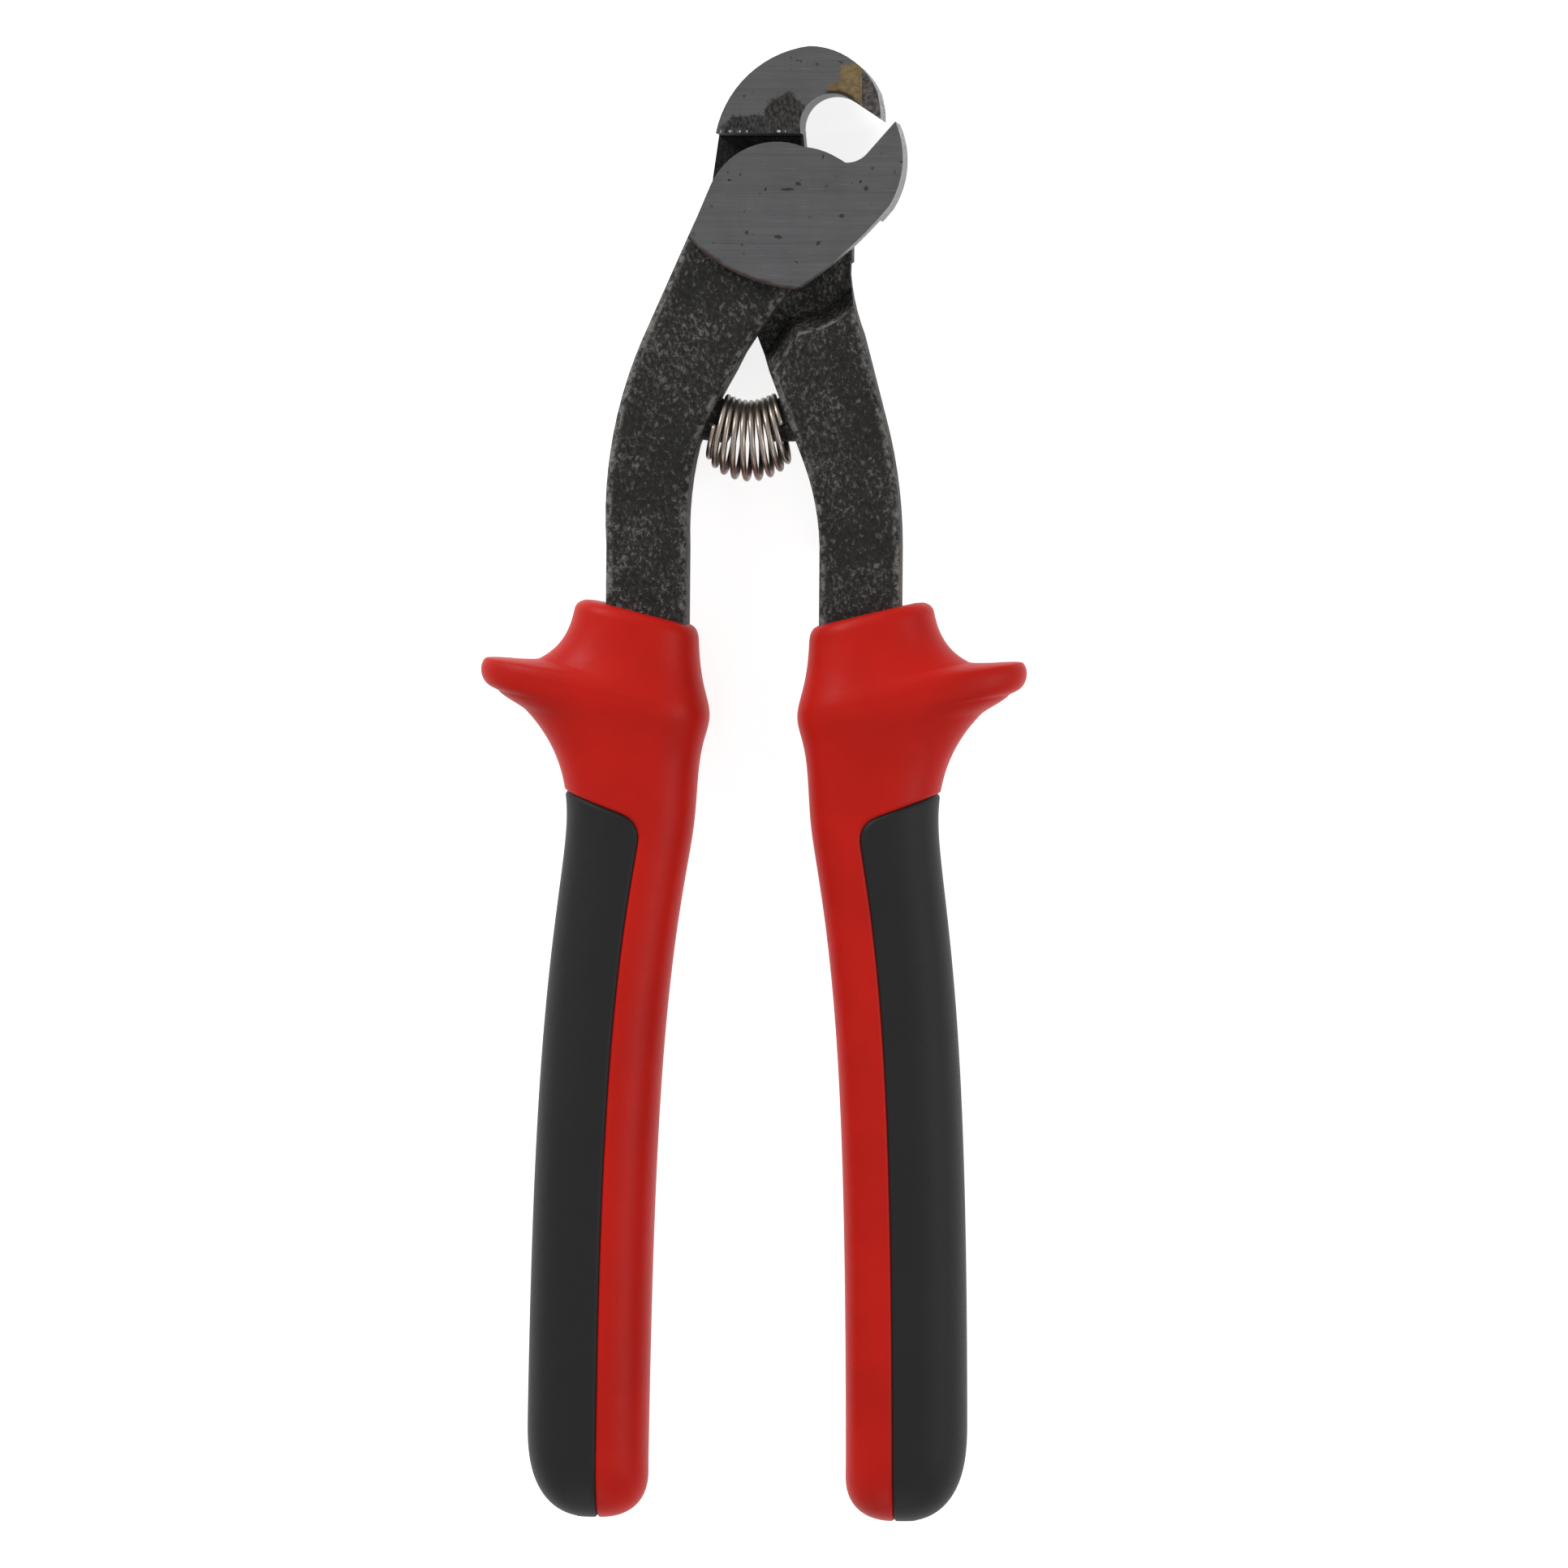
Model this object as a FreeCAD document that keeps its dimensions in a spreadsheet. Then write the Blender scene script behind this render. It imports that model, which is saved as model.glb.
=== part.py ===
"""Tile nippers: two forged levers lapped on one flush rivet, parrot-beak jaws with brazed carbide
tips, a bent barrel spring between the arms and two-component grips on the tangs.

Millimetres. The tool lies flat: +Y runs from the grips to the jaws, +X to the side the mouth
opens on, +Z out of the front face. The origin is on the rivet's axis in the head's back face.
Each handle is drawn in its own frame, u outwards from the tool's middle line and v along it,
and both handles are the same: the left one is the right one turned over about that line."""

import FreeCAD, Part
import math
import os
import re

import Sketcher
from FreeCAD import Placement, Rotation, Vector

os.makedirs("parts", exist_ok=True)
doc = FreeCAD.newDocument("tile_nippers")

# ---------------------------------------------------------------- driving sizes

SIZES = {
    # the head and the half lap
    "head_thick": 14.0,  # across both cheeks, machined flat
    "lap_gap": 0.1,  # between the two cheeks
    "disc_r": 10.1,  # round of each cheek about the rivet
    "disc_end_angle": 70.0,  # where the rear cheek's round meets the mouth
    "lap_clear": 0.3,  # radial gap between a cheek's round and the other lever's step
    "shoulder_y": 11.3,  # step under the upper jaw, which is full thickness above it
    "pad_round": 24.0,  # lower edge of the machined pads
    # the upper jaw, on the rear lever
    "nape_x": 8.5,  # left end of the shoulder, left of the rivet
    "crown_x": 4.6,
    "crown_y": 23.4,
    "nape_round": 15.2,
    "crown_round": 10.3,
    "brow_x": 13.9,
    "brow_y": 17.2,
    "brow_round": 12.0,
    "upper_tip_x": 14.45,
    "upper_tip_y": 13.2,
    "upper_mouth_r": 4.5,
    "upper_mouth_x": 7.7,
    "upper_mouth_y": 12.3,
    "lip_angle": 56.0,  # where the upper cutting edge leaves the round of the mouth
    # the lower jaw, on the front lever
    "mouth_corner_angle": 68.5,
    "mouth_floor_x": 9.4,
    "mouth_floor_y": 7.2,
    "mouth_floor_round": 10.5,
    "mouth_wall_x": 12.57,
    "mouth_wall_y": 8.45,
    "lower_mouth_r": 3.7,
    "lower_tip_x": 16.5,
    "lower_tip_y": 12.9,
    "chin_x": 15.6,
    "chin_y": 1.1,
    "chin_round": 12.7,
    "jowl_round": 54.0,
    "pad_corner_x": 2.5,
    "pad_corner_y": 10.4,  # below the rivet
    "pad_left_x": 12.4,  # left of the rivet
    "pad_left_y": 3.3,  # below the rivet
    "cheek_left_angle": 155.5,
    # travel of the front lever from rest, and the steps that clear it
    "open_angle": 41.5,  # the lower jaw's back step meets the right arm here
    "rear_neck_r": 10.2,
    "rear_neck_angle": 225.0,  # where the round under the neck starts
    "neck_corner_x": 9.5,  # left edge of the rear neck, left of the rivet
    "neck_corner_y": 4.4,
    "arm_edge_in": 0.05,  # right arm's outer edge, the opening stop, inside the cheek's round
    "arm_edge_low": 6.3,  # below the rivet
    "rear_foot_x": 5.0,  # corner of the rear cheek, left of and below the rivet
    "rear_foot_y": 10.9,
    "front_recess_r": 14.2,
    "front_recess_angle": 84.3,
    "front_recess_lean": 34.0,
    "back_recess_r": 13.0,
    "back_recess_angle": 239.2,
    "back_recess_lean": 14.9,
    "recess_run": 13.5,
    "recess_ramp": 30.0,
    "front_recess_start": 8.0,
    "back_recess_start": 18.0,
    "step_start_angle": 43.0,  # where the lower jaw's back step leaves the mouth
    "step_run": 16.0,
    # the rivet
    "rivet_r": 4.0,
    "rivet_head_r": 5.2,
    "rivet_head_deep": 1.2,
    "rivet_clear": 0.05,
    # carbide tips
    "upper_seat_x": 11.6,
    "lower_seat_y": 9.6,
    "braze_thick": 0.25,
    # the handles' middle line, which passes left of the rivet and leans
    "axis_x": 3.1,
    "axis_tilt": 0.494,
    # the arms
    "arm_thick": 10.0,
    "arm_round": 1.5,
    "arm_in": 9.25,
    "arm_out": 20.55,
    "arm_straight": 46.0,  # below here the arm's sides are parallel
    "arm_end": 58.0,
    "arm_root_v": 2.5,
    "right_shoulder_u": 13.0,
    "right_shoulder_v": 8.0,
    "right_shoulder_round": 30.0,
    "right_elbow_u": 15.0,
    "right_elbow_v": 16.4,
    "right_bow_u": 18.0,
    "right_bow_v": 27.7,
    "right_bow_round": 70.0,
    "right_inner_u": 6.9,
    "right_inner_v": 34.3,
    "right_inner_round": 36.0,
    "right_crotch_u": 2.0,
    "right_crotch_v": 11.3,
    "left_shoulder_u": 8.6,
    "left_shoulder_v": 1.0,
    "left_bow_u": 14.8,
    "left_bow_v": 15.25,
    "left_bow_round": 62.0,
    "left_inner_u": 7.9,
    "left_inner_v": 32.0,
    "left_inner_round": 50.0,
    "left_crotch_u": 5.0,
    "left_crotch_v": 10.3,
    "left_crotch_round": 82.0,
    # the tangs inside the grips
    "tang_thick": 6.0,
    "tang_bend": 86.0,
    "tang_end": 134.0,
    "tang_wide": 6.8,
    "tang_foot_wide": 5.0,
    "tang_foot_out": 20.7,
    # the nubs that hold the spring
    "nub_v": 28.3,
    "nub_base_r": 3.3,
    "nub_tip_r": 2.3,
    "nub_long": 3.4,
    "left_nub_u": 6.2,
    "left_nub_lean": 24.6,
    "right_nub_u": 4.5,
    "right_nub_lean": 17.3,
    # the return spring
    "wire_r": 0.37,
    "coil_mid_r": 5.3,
    "coil_end_r": 4.1,
    "coil_turns": 9.0,
    "spring_half": 4.65,
    "spring_left": 4.2,  # its middle, left of the rivet
    "spring_drop": 29.2,  # its ends, below the rivet
    "spring_sag": 2.2,
    "spring_lean": 16.0,
    "spring_spread": 0.25,  # how much wider its middle coils stand apart than its end ones
    # the grips
    "neck_u": 16.1,
    "grip_bow": 6.5,
    "bow_start": 84.0,
    "bow_run": 27.0,
    "ridge_v": 67.6,
    "ridge_tilt": 11.0,
    "rim_rise": 12.2,
    "rim_round": 1.8,
    "grip_end": 182.35,
    "end_round": 10.0,
    "grip_half_wide": 8.5,
    "grip_half_thick": 7.5,
    "guard_reach": 14.4,
    "guard_nose_r": 2.1,  # round of the guard's lip
    "upper_fillet": 10.5,  # how far the fillet over the lip would reach at the ridge
    "upper_run": 5.0,
    "lower_fillet": 15.4,
    "lower_run": 6.0,
    "guard_inner": 1.7,
    "guard_inner_run": 3.2,
    "ridge_rise": 1.9,
    "belly_rise": 1.0,
    "belly_v": 140.0,
    "belly_run": 34.0,
    # the soft side of each grip
    "soft_thick": 2.4,
    "soft_top": 84.8,
    "soft_share": 1.7,  # it reaches this far past the grip's middle
    "soft_slope": 20.0,
    "soft_corner": 3.0,
}

sheet = doc.addObject("Spreadsheet::Sheet", "Sizes")
for row, (alias, value) in enumerate(SIZES.items(), start=1):
    sheet.set(f"A{row}", alias)
    sheet.set(f"B{row}", str(value))
    sheet.setAlias(f"B{row}", alias)
doc.recompute()


def cell(words):
    """An expression in plain size names, as FreeCAD wants it."""
    return re.sub(r"[a-z]\w*", lambda word: f"Sizes.{word[0]}" if word[0] in SIZES else word[0], words)


def number(words):
    """What an expression in size names comes to now."""
    return float(sheet.evalExpression(cell(words)))


def bind(thing, field, words):
    thing.setExpression(field, cell(words))


def polar(radius, angle):
    """A corner by its distance and direction from the rivet's axis."""
    return f"({radius}) * cos({angle})", f"({radius}) * sin({angle})"


# ---------------------------------------------------------------- sketches and features

HANDLE = {  # where each handle's frame lies: u outwards, v up the tool's middle line
    "right": "create(<<placement>>; create(<<vector>>; -axis_x; 0; head_thick / 2);"
    " create(<<rotation>>; -axis_tilt; 0; 0))",
    "left": "create(<<placement>>; create(<<vector>>; -axis_x; 0; head_thick / 2);"
    " create(<<rotation>>; -axis_tilt; 180; 0))",
}


def body(name):
    made = doc.addObject("PartDesign::Body", name)
    made.Label = name
    return made


def plane(owner, role):
    return next(item for item in owner.Origin.OriginFeatures if item.Role == role)


def side(start, end, radius):
    """One side of an outline: a line, or the shorter arc of a signed radius, positive when its
    centre is on the left. Returns the curve and the positions of its start and end."""
    first = Vector(*start, 0)
    last = Vector(*end, 0)
    if radius is None:
        return Part.LineSegment(first, last), 1, 2
    half = (last - first) / 2
    left = Vector(-half.y, half.x, 0).normalize()
    turn = math.copysign(1, radius)
    centre = first + half + left * turn * math.sqrt(radius**2 - half.Length**2)
    ends = [math.atan2(point.y - centre.y, point.x - centre.x) for point in (first, last)]
    if turn < 0:
        ends.reverse()
    if ends[1] < ends[0]:
        ends[1] += 2 * math.pi
    arc = Part.ArcOfCircle(Part.Circle(centre, Vector(0, 0, 1), abs(radius)), *ends)
    return (arc, 1, 2) if turn > 0 else (arc, 2, 1)


def outline(owner, name, corners, arcs=None, height=None, handle=None, base="XY_Plane"):
    """A closed sketch. Corners are (x, y) expressions in order; arcs gives, by corner number,
    the signed radius of the side that leaves it. Every corner and radius is bound to the sheet."""
    arcs = arcs or {}
    drawn = owner.newObject("Sketcher::SketchObject", name)
    drawn.AttachmentSupport = [(plane(owner, base), "")]
    drawn.MapMode = "FlatFace"
    if height:
        bind(drawn, "AttachmentOffset.Base.z", height)
    if handle:
        bind(drawn, "AttachmentOffset", HANDLE[handle])
    places = [(number(x), number(y)) for x, y in corners]
    ends = []
    for index, place in enumerate(places):
        radius = number(arcs[index]) if index in arcs else None
        curve, start, end = side(place, places[(index + 1) % len(places)], radius)
        drawn.addGeometry(curve, False)
        ends.append((start, end))
    for index, (start, end) in enumerate(ends):
        after = (index + 1) % len(ends)
        drawn.addConstraint(Sketcher.Constraint("Coincident", index, end, after, ends[after][0]))
    for index, (x, y) in enumerate(corners):
        for kind, words, value in (("DistanceX", x, places[index][0]), ("DistanceY", y, places[index][1])):
            fixed = drawn.addConstraint(Sketcher.Constraint(kind, index, ends[index][0], value))
            bind(drawn, f"Constraints[{fixed}]", words)
    for index, words in arcs.items():
        fixed = drawn.addConstraint(Sketcher.Constraint("Radius", index, abs(number(words))))
        bind(drawn, f"Constraints[{fixed}]", f"abs({words})")
    return drawn


def pad(owner, drawn, length, both_ways=False):
    made = owner.newObject("PartDesign::Pad", drawn.Name + "_pad")
    made.Profile = drawn
    bind(made, "Length", length)
    if both_ways:
        made.Midplane = True
    doc.recompute()
    return made


def pocket(owner, drawn, length, upwards, ramp=None):
    """Cuts a sketch's outline out of the body and makes sure that it did cut."""
    before = owner.Shape.Volume
    made = owner.newObject("PartDesign::Pocket", drawn.Name + "_cut")
    made.Profile = drawn
    bind(made, "Length", length)
    made.Reversed = upwards
    if ramp:
        bind(made, "TaperAngle", ramp)
        made.Refine = False
    doc.recompute()
    if not owner.Shape.Volume < before:
        raise ValueError(f"{made.Name} cuts nothing")
    return made


def turned(owner, drawn, axis, cut=False):
    kind = "PartDesign::Groove" if cut else "PartDesign::Revolution"
    before = owner.Shape.Volume if cut else 0
    made = owner.newObject(kind, drawn.Name + "_turned")
    made.Profile = drawn
    made.ReferenceAxis = (drawn, [axis])
    made.Angle = 360
    doc.recompute()
    if cut and not owner.Shape.Volume < before:
        raise ValueError(f"{made.Name} cuts nothing")
    return made


# ---------------------------------------------------------------- the levers

LAP_UNDER = "head_thick / 2 - lap_gap / 2"
LAP_OVER = "head_thick / 2 + lap_gap / 2"
ARM_EDGE = "disc_r - arm_edge_in"

UPPER_JAW = [
    ("-nape_x", "shoulder_y"),
    ("crown_x", "crown_y"),
    ("brow_x", "brow_y"),
    ("upper_tip_x", "upper_tip_y"),
    (
        "upper_mouth_x + upper_mouth_r * cos(lip_angle)",
        "upper_mouth_y + upper_mouth_r * sin(lip_angle)",
    ),
    ("upper_mouth_x - upper_mouth_r", "upper_mouth_y"),
]
UPPER_JAW_ARCS = {0: "-nape_round", 1: "-crown_round", 2: "-brow_round", 4: "upper_mouth_r"}

LOWER_JAW = [
    polar("disc_r", "mouth_corner_angle"),
    ("mouth_floor_x", "mouth_floor_y"),
    ("mouth_wall_x", "mouth_wall_y"),
    ("lower_tip_x", "lower_tip_y"),
    ("chin_x", "chin_y"),
    ("pad_corner_x", "-pad_corner_y"),
]
LOWER_JAW_ARCS = {
    0: "-mouth_floor_round",
    1: "lower_mouth_r",
    3: "-chin_round",
    4: "-jowl_round",
    5: "-pad_round",
}


def long_edges(shape, height):
    """Names of the edges that run down an arm at a height, on its front or its back face."""
    names = []
    for index, edge in enumerate(shape.Edges, start=1):
        first, last = edge.Vertexes[0].Point, edge.Vertexes[-1].Point
        level = max(abs(first.z - height), abs(last.z - height)) < 0.1
        if level and abs(first.y - last.y) > abs(first.x - last.x):
            names.append(f"Edge{index}")
    return names


def arm(owner, handle, outer, outer_arcs, inner, inner_arcs):
    """An arm from under the head to its end in the grip, with its long edges rounded."""
    straight = [
        ("arm_out", "-arm_straight"),
        ("arm_out", "-arm_end"),
        ("arm_in", "-arm_end"),
        ("arm_in", "-arm_straight"),
    ]
    arcs = dict(outer_arcs)
    arcs.update({len(outer) + len(straight) - 1 + place: words for place, words in inner_arcs.items()})
    bar_body = body(f"{handle}_arm_bar")
    drawn = outline(bar_body, f"{handle}_arm", outer + straight + inner, arcs, handle=handle)
    bar = pad(bar_body, drawn, "arm_thick", both_ways=True)
    faces = {"front": "head_thick / 2 + arm_thick / 2", "back": "head_thick / 2 - arm_thick / 2"}
    for name, height in faces.items():
        rounded = bar_body.newObject("PartDesign::Fillet", f"{handle}_arm_{name}_rounded")
        rounded.Base = (bar, long_edges(bar.Shape, number(height)))
        bind(rounded, "Radius", "arm_round")
        doc.recompute()
        bar = rounded
    fused = owner.newObject("PartDesign::Boolean", f"{handle}_arm_fused")
    fused.Type = "Fuse"
    fused.setObjects([bar_body])
    fused.Refine = False
    doc.recompute()
    return fused


def tang(owner, handle):
    """The tongue that the arm narrows to inside the grip."""
    middle = "(arm_in + arm_out) / 2"
    waist = "neck_u + grip_bow * 0.02"
    corners = [
        (f"{middle} + tang_wide / 2", "-(arm_end - 2)"),
        (f"{waist} + tang_wide / 2", "-tang_bend"),
        ("tang_foot_out + tang_foot_wide / 2", "-tang_end"),
        ("tang_foot_out - tang_foot_wide / 2", "-tang_end"),
        (f"{waist} - tang_wide / 2", "-tang_bend"),
        (f"{middle} - tang_wide / 2", "-(arm_end - 2)"),
    ]
    return pad(owner, outline(owner, f"{handle}_tang", corners, handle=handle), "tang_thick", True)


def rivet_hole(owner, clear):
    """The countersunk rivet hole, through both faces."""
    reach = "head_thick"
    corners = [
        ("0", "-1"),
        (f"rivet_head_r + {clear} + (rivet_head_r - rivet_r) / rivet_head_deep", "-1"),
        (f"rivet_r + {clear}", "rivet_head_deep"),
        (f"rivet_r + {clear}", f"{reach} - rivet_head_deep"),
        (f"rivet_head_r + {clear} + (rivet_head_r - rivet_r) / rivet_head_deep", f"{reach} + 1"),
        ("0", f"{reach} + 1"),
    ]
    drawn = outline(owner, "rivet_hole", corners, base="XZ_Plane")
    return turned(owner, drawn, "V_Axis", cut=True)


def nub(owner, handle, place_u, lean):
    """The tapered boss on an arm's inner edge that an end of the spring sits over."""
    along = (f"-cos({lean})", f"-sin({lean})")
    across = (f"sin({lean})", f"-cos({lean})")

    def corner(out, wide):
        return (
            f"{place_u} + ({out}) * ({along[0]}) + ({wide}) * ({across[0]})",
            f"-nub_v + ({out}) * ({along[1]}) + ({wide}) * ({across[1]})",
        )

    corners = [
        corner("-3", "0"),
        corner("-3", "nub_base_r"),
        corner("0", "nub_base_r"),
        corner("nub_long", "nub_tip_r"),
        corner("nub_long", "0"),
    ]
    drawn = outline(owner, f"{handle}_nub", corners, handle=handle)
    ends = [Vector(number(x), number(y), 0) for x, y in (corners[0], corners[4])]
    drawn.addGeometry(Part.LineSegment(*ends), True)
    drawn.addConstraint(Sketcher.Constraint("Coincident", 5, 1, 0, 1))
    drawn.addConstraint(Sketcher.Constraint("Coincident", 5, 2, 4, 1))
    return turned(owner, drawn, "Axis0")


def rear_lever():
    """Upper jaw, rear cheek and right arm in one forging."""
    made = body("rear_lever")
    head = UPPER_JAW + [
        polar("disc_r", "disc_end_angle"),
        (ARM_EDGE, f"-sqrt(disc_r^2 - ({ARM_EDGE})^2)"),
        (ARM_EDGE, "-arm_edge_low"),
        ("-rear_foot_x", "-rear_foot_y"),
        polar("rear_neck_r", "rear_neck_angle"),
        ("-neck_corner_x", "neck_corner_y"),
    ]
    arcs = dict(UPPER_JAW_ARCS)
    arcs.update({6: "-disc_r", 8: "-pad_round", 10: "-rear_neck_r"})
    pad(made, outline(made, "rear_head", head, arcs), "head_thick")
    lap = [("-30", "shoulder_y"), ("30", "shoulder_y"), ("30", "-30"), ("-30", "-30")]
    pocket(made, outline(made, "front_lap", lap, height=LAP_UNDER), "head_thick", upwards=True)
    outer = [
        (f"{ARM_EDGE} + axis_x", "-arm_root_v"),
        ("right_shoulder_u", "-right_shoulder_v"),
        ("right_elbow_u", "-right_elbow_v"),
        ("right_bow_u", "-right_bow_v"),
    ]
    inner = [
        ("right_inner_u", "-right_inner_v"),
        ("-right_crotch_u", "-right_crotch_v"),
        ("-right_crotch_u", "-arm_root_v"),
    ]
    outer_arcs = {1: "right_shoulder_round", 3: "-right_bow_round"}
    arm(made, "right", outer, outer_arcs, inner, {0: "right_inner_round"})
    lean = ("sin(front_recess_lean)", "cos(front_recess_lean)")
    start = polar("front_recess_r", "-front_recess_angle")
    recess = [
        ("-26", "front_recess_r * sin(front_recess_start)"),
        polar("front_recess_r", "front_recess_start"),
        start,
        (f"{start[0]} - recess_run * {lean[0]}", f"{start[1]} - recess_run * {lean[1]}"),
        ("-26", f"{start[1]} - recess_run * {lean[1]}"),
    ]
    drawn = outline(made, "front_recess", recess, {1: "-front_recess_r"}, height=LAP_UNDER)
    pocket(made, drawn, "head_thick / 2", upwards=True, ramp="recess_ramp")
    tang(made, "right")
    nub(made, "right", "right_nub_u", "right_nub_lean")
    rivet_hole(made, "0")
    seat = [("upper_seat_x", "10"), ("30", "10"), ("30", "30"), ("upper_seat_x", "30")]
    pocket(made, outline(made, "upper_seat", seat), "head_thick", upwards=True)
    return made


def front_lever():
    """Lower jaw, front cheek and left arm in one forging."""
    made = body("front_lever")
    head = LOWER_JAW + [("-pad_left_x", "-pad_left_y"), polar("disc_r", "cheek_left_angle")]
    arcs = dict(LOWER_JAW_ARCS)
    arcs[7] = "-disc_r"
    pad(made, outline(made, "front_head", head, arcs), "head_thick")
    step = "disc_r + lap_clear"
    below = f"sqrt(({step})^2 - ({ARM_EDGE})^2)"
    turn = ("cos(open_angle)", "sin(open_angle)")
    lap = [
        ("-30", "disc_r + 2"),
        ("3", "disc_r + 2"),
        polar("disc_r + 2.3", "step_start_angle + 7"),
        polar(step, "step_start_angle"),
        (
            f"({ARM_EDGE}) * {turn[0]} + {below} * {turn[1]}",
            f"({ARM_EDGE}) * {turn[1]} - {below} * {turn[0]}",
        ),
        (
            f"({ARM_EDGE}) * {turn[0]} + step_run * {turn[1]}",
            f"({ARM_EDGE}) * {turn[1]} - step_run * {turn[0]}",
        ),
        ("20", "-30"),
        ("-30", "-30"),
    ]
    drawn = outline(made, "back_lap", lap, {3: f"-({step})"}, height=LAP_OVER)
    pocket(made, drawn, "head_thick", upwards=False)
    outer = [("left_shoulder_u", "-left_shoulder_v"), ("left_bow_u", "-left_bow_v")]
    inner = [("left_inner_u", "-left_inner_v"), ("-left_crotch_u", "-left_crotch_v")]
    inner_arcs = {0: "left_inner_round", 1: "left_crotch_round"}
    arm(made, "left", outer, {1: "-left_bow_round"}, inner, inner_arcs)
    lean = ("sin(back_recess_lean)", "cos(back_recess_lean)")
    start = polar("back_recess_r", "back_recess_angle")
    recess = [
        ("4", "back_recess_r * sin(back_recess_start)"),
        polar("back_recess_r", "180 - back_recess_start"),
        start,
        (f"{start[0]} + recess_run * {lean[0]}", f"{start[1]} - recess_run * {lean[1]}"),
        ("4", f"{start[1]} - recess_run * {lean[1]}"),
    ]
    drawn = outline(made, "back_recess", recess, {1: "back_recess_r"}, height=LAP_OVER)
    pocket(made, drawn, "head_thick / 2", upwards=False, ramp="recess_ramp")
    tang(made, "left")
    nub(made, "left", "left_nub_u", "left_nub_lean")
    rivet_hole(made, "rivet_clear")
    seat = [("10", "lower_seat_y"), ("30", "lower_seat_y"), ("30", "20"), ("10", "20")]
    pocket(made, outline(made, "lower_seat", seat), "head_thick", upwards=True)
    return made


# ---------------------------------------------------------------- rivet and carbide tips


def rivet():
    made = body("pivot_rivet")
    corners = [
        ("0", "0"),
        ("rivet_head_r", "0"),
        ("rivet_r", "rivet_head_deep"),
        ("rivet_r", "head_thick - rivet_head_deep"),
        ("rivet_head_r", "head_thick"),
        ("0", "head_thick"),
    ]
    turned(made, outline(made, "rivet_half", corners, base="XZ_Plane"), "V_Axis")
    return made


def jaw_slice(name, corners, arcs, kept):
    """The part of a jaw between two lines, given as the boxes to take away."""
    made = body(name)
    pad(made, outline(made, name + "_jaw", corners, arcs), "head_thick")
    for index, (left, low, right, high) in enumerate(kept):
        box = [(left, low), (right, low), (right, high), (left, high)]
        pocket(made, outline(made, f"{name}_side_{index}", box), "head_thick", upwards=True)
    return made


def tips():
    """Each jaw's carbide tip and the line of braze under it."""
    upper = (UPPER_JAW, UPPER_JAW_ARCS)
    prong_arcs = {index - 1: words for index, words in LOWER_JAW_ARCS.items() if 0 < index < 4}
    lower = (LOWER_JAW[1:5], prong_arcs)  # without the cheek's round
    upper_face = "upper_seat_x + braze_thick"
    lower_face = "lower_seat_y + braze_thick"
    return [
        jaw_slice("upper_jaw_carbide", *upper, [("-20", "5", upper_face, "30")]),
        jaw_slice(
            "upper_jaw_braze",
            *upper,
            [("-20", "5", "upper_seat_x", "30"), (upper_face, "5", "25", "30")],
        ),
        jaw_slice("lower_jaw_carbide", *lower, [("-5", "-5", "25", lower_face)]),
        jaw_slice(
            "lower_jaw_braze",
            *lower,
            [("-5", "-5", "25", "lower_seat_y"), ("-5", lower_face, "25", "20")],
        ),
    ]


# ---------------------------------------------------------------- spring


def ring(middle, first, second, reaches):
    """A closed ring about a point, one corner for each reach, evenly turned."""
    corners = []
    for step, reach in enumerate(reaches):
        angle = 2 * math.pi * step / len(reaches)
        corners.append(middle + first * reach * math.cos(angle) + second * reach * math.sin(angle))
    return Part.makePolygon(corners + corners[:1])


def coil_lean(share):
    """How far a coil leans over, in radians: outwards at both ends of the spring."""
    return math.radians(number("spring_lean")) * (1 - 2 * share)


def coil_point(share):
    """The wire's middle at a share of its run, from its left end at the front. The coils swell
    away from the ends, the spring hangs in a bow, and the end coils lean over their nubs."""
    lean = coil_lean(share)
    swell = math.sin(math.pi * share) ** 0.6 if 0 < share < 1 else 0
    radius = number("coil_end_r") + number("coil_mid_r - coil_end_r") * swell
    angle = -2 * math.pi * number("coil_turns") * share
    side = 2 * share - 1
    spread = 1 + number("spring_spread") * (1 - side**2)
    middle = Vector(
        number("spring_half") * side * spread - number("spring_left"),
        -number("spring_drop") - number("spring_sag") * math.sin(math.pi * share),
        number("head_thick / 2"),
    )
    across = Vector(math.sin(lean), math.cos(lean), 0)
    return middle + across * radius * math.sin(angle) + Vector(0, 0, radius * math.cos(angle))


def return_spring():
    """The wire as a loft through rings a tenth of a turn apart."""
    steps = round(number("coil_turns") * 10)
    middles = [coil_point(step / steps) for step in range(steps + 1)]
    rings = []
    for step, middle in enumerate(middles):
        along = middles[min(step + 1, steps)] - middles[max(step - 1, 0)]
        lean = coil_lean(step / steps)
        second = along.cross(Vector(math.cos(lean), -math.sin(lean), 0)).normalize()
        first = second.cross(along).normalize()
        rings.append(ring(middle, first, second, [number("wire_r")] * 8))
    made = doc.addObject("Part::Feature", "return_spring")
    made.Label = "return_spring"
    made.Shape = Part.makeLoft(rings, True, True)
    return made


# ---------------------------------------------------------------- grips


def hump(distance, width):
    return 1 / math.cosh(distance / width)


def ramp_up(distance, width):
    """Zero well below nought and the distance itself well above it, with a smooth turn."""
    return (distance + math.hypot(distance, width)) / 2


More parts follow.
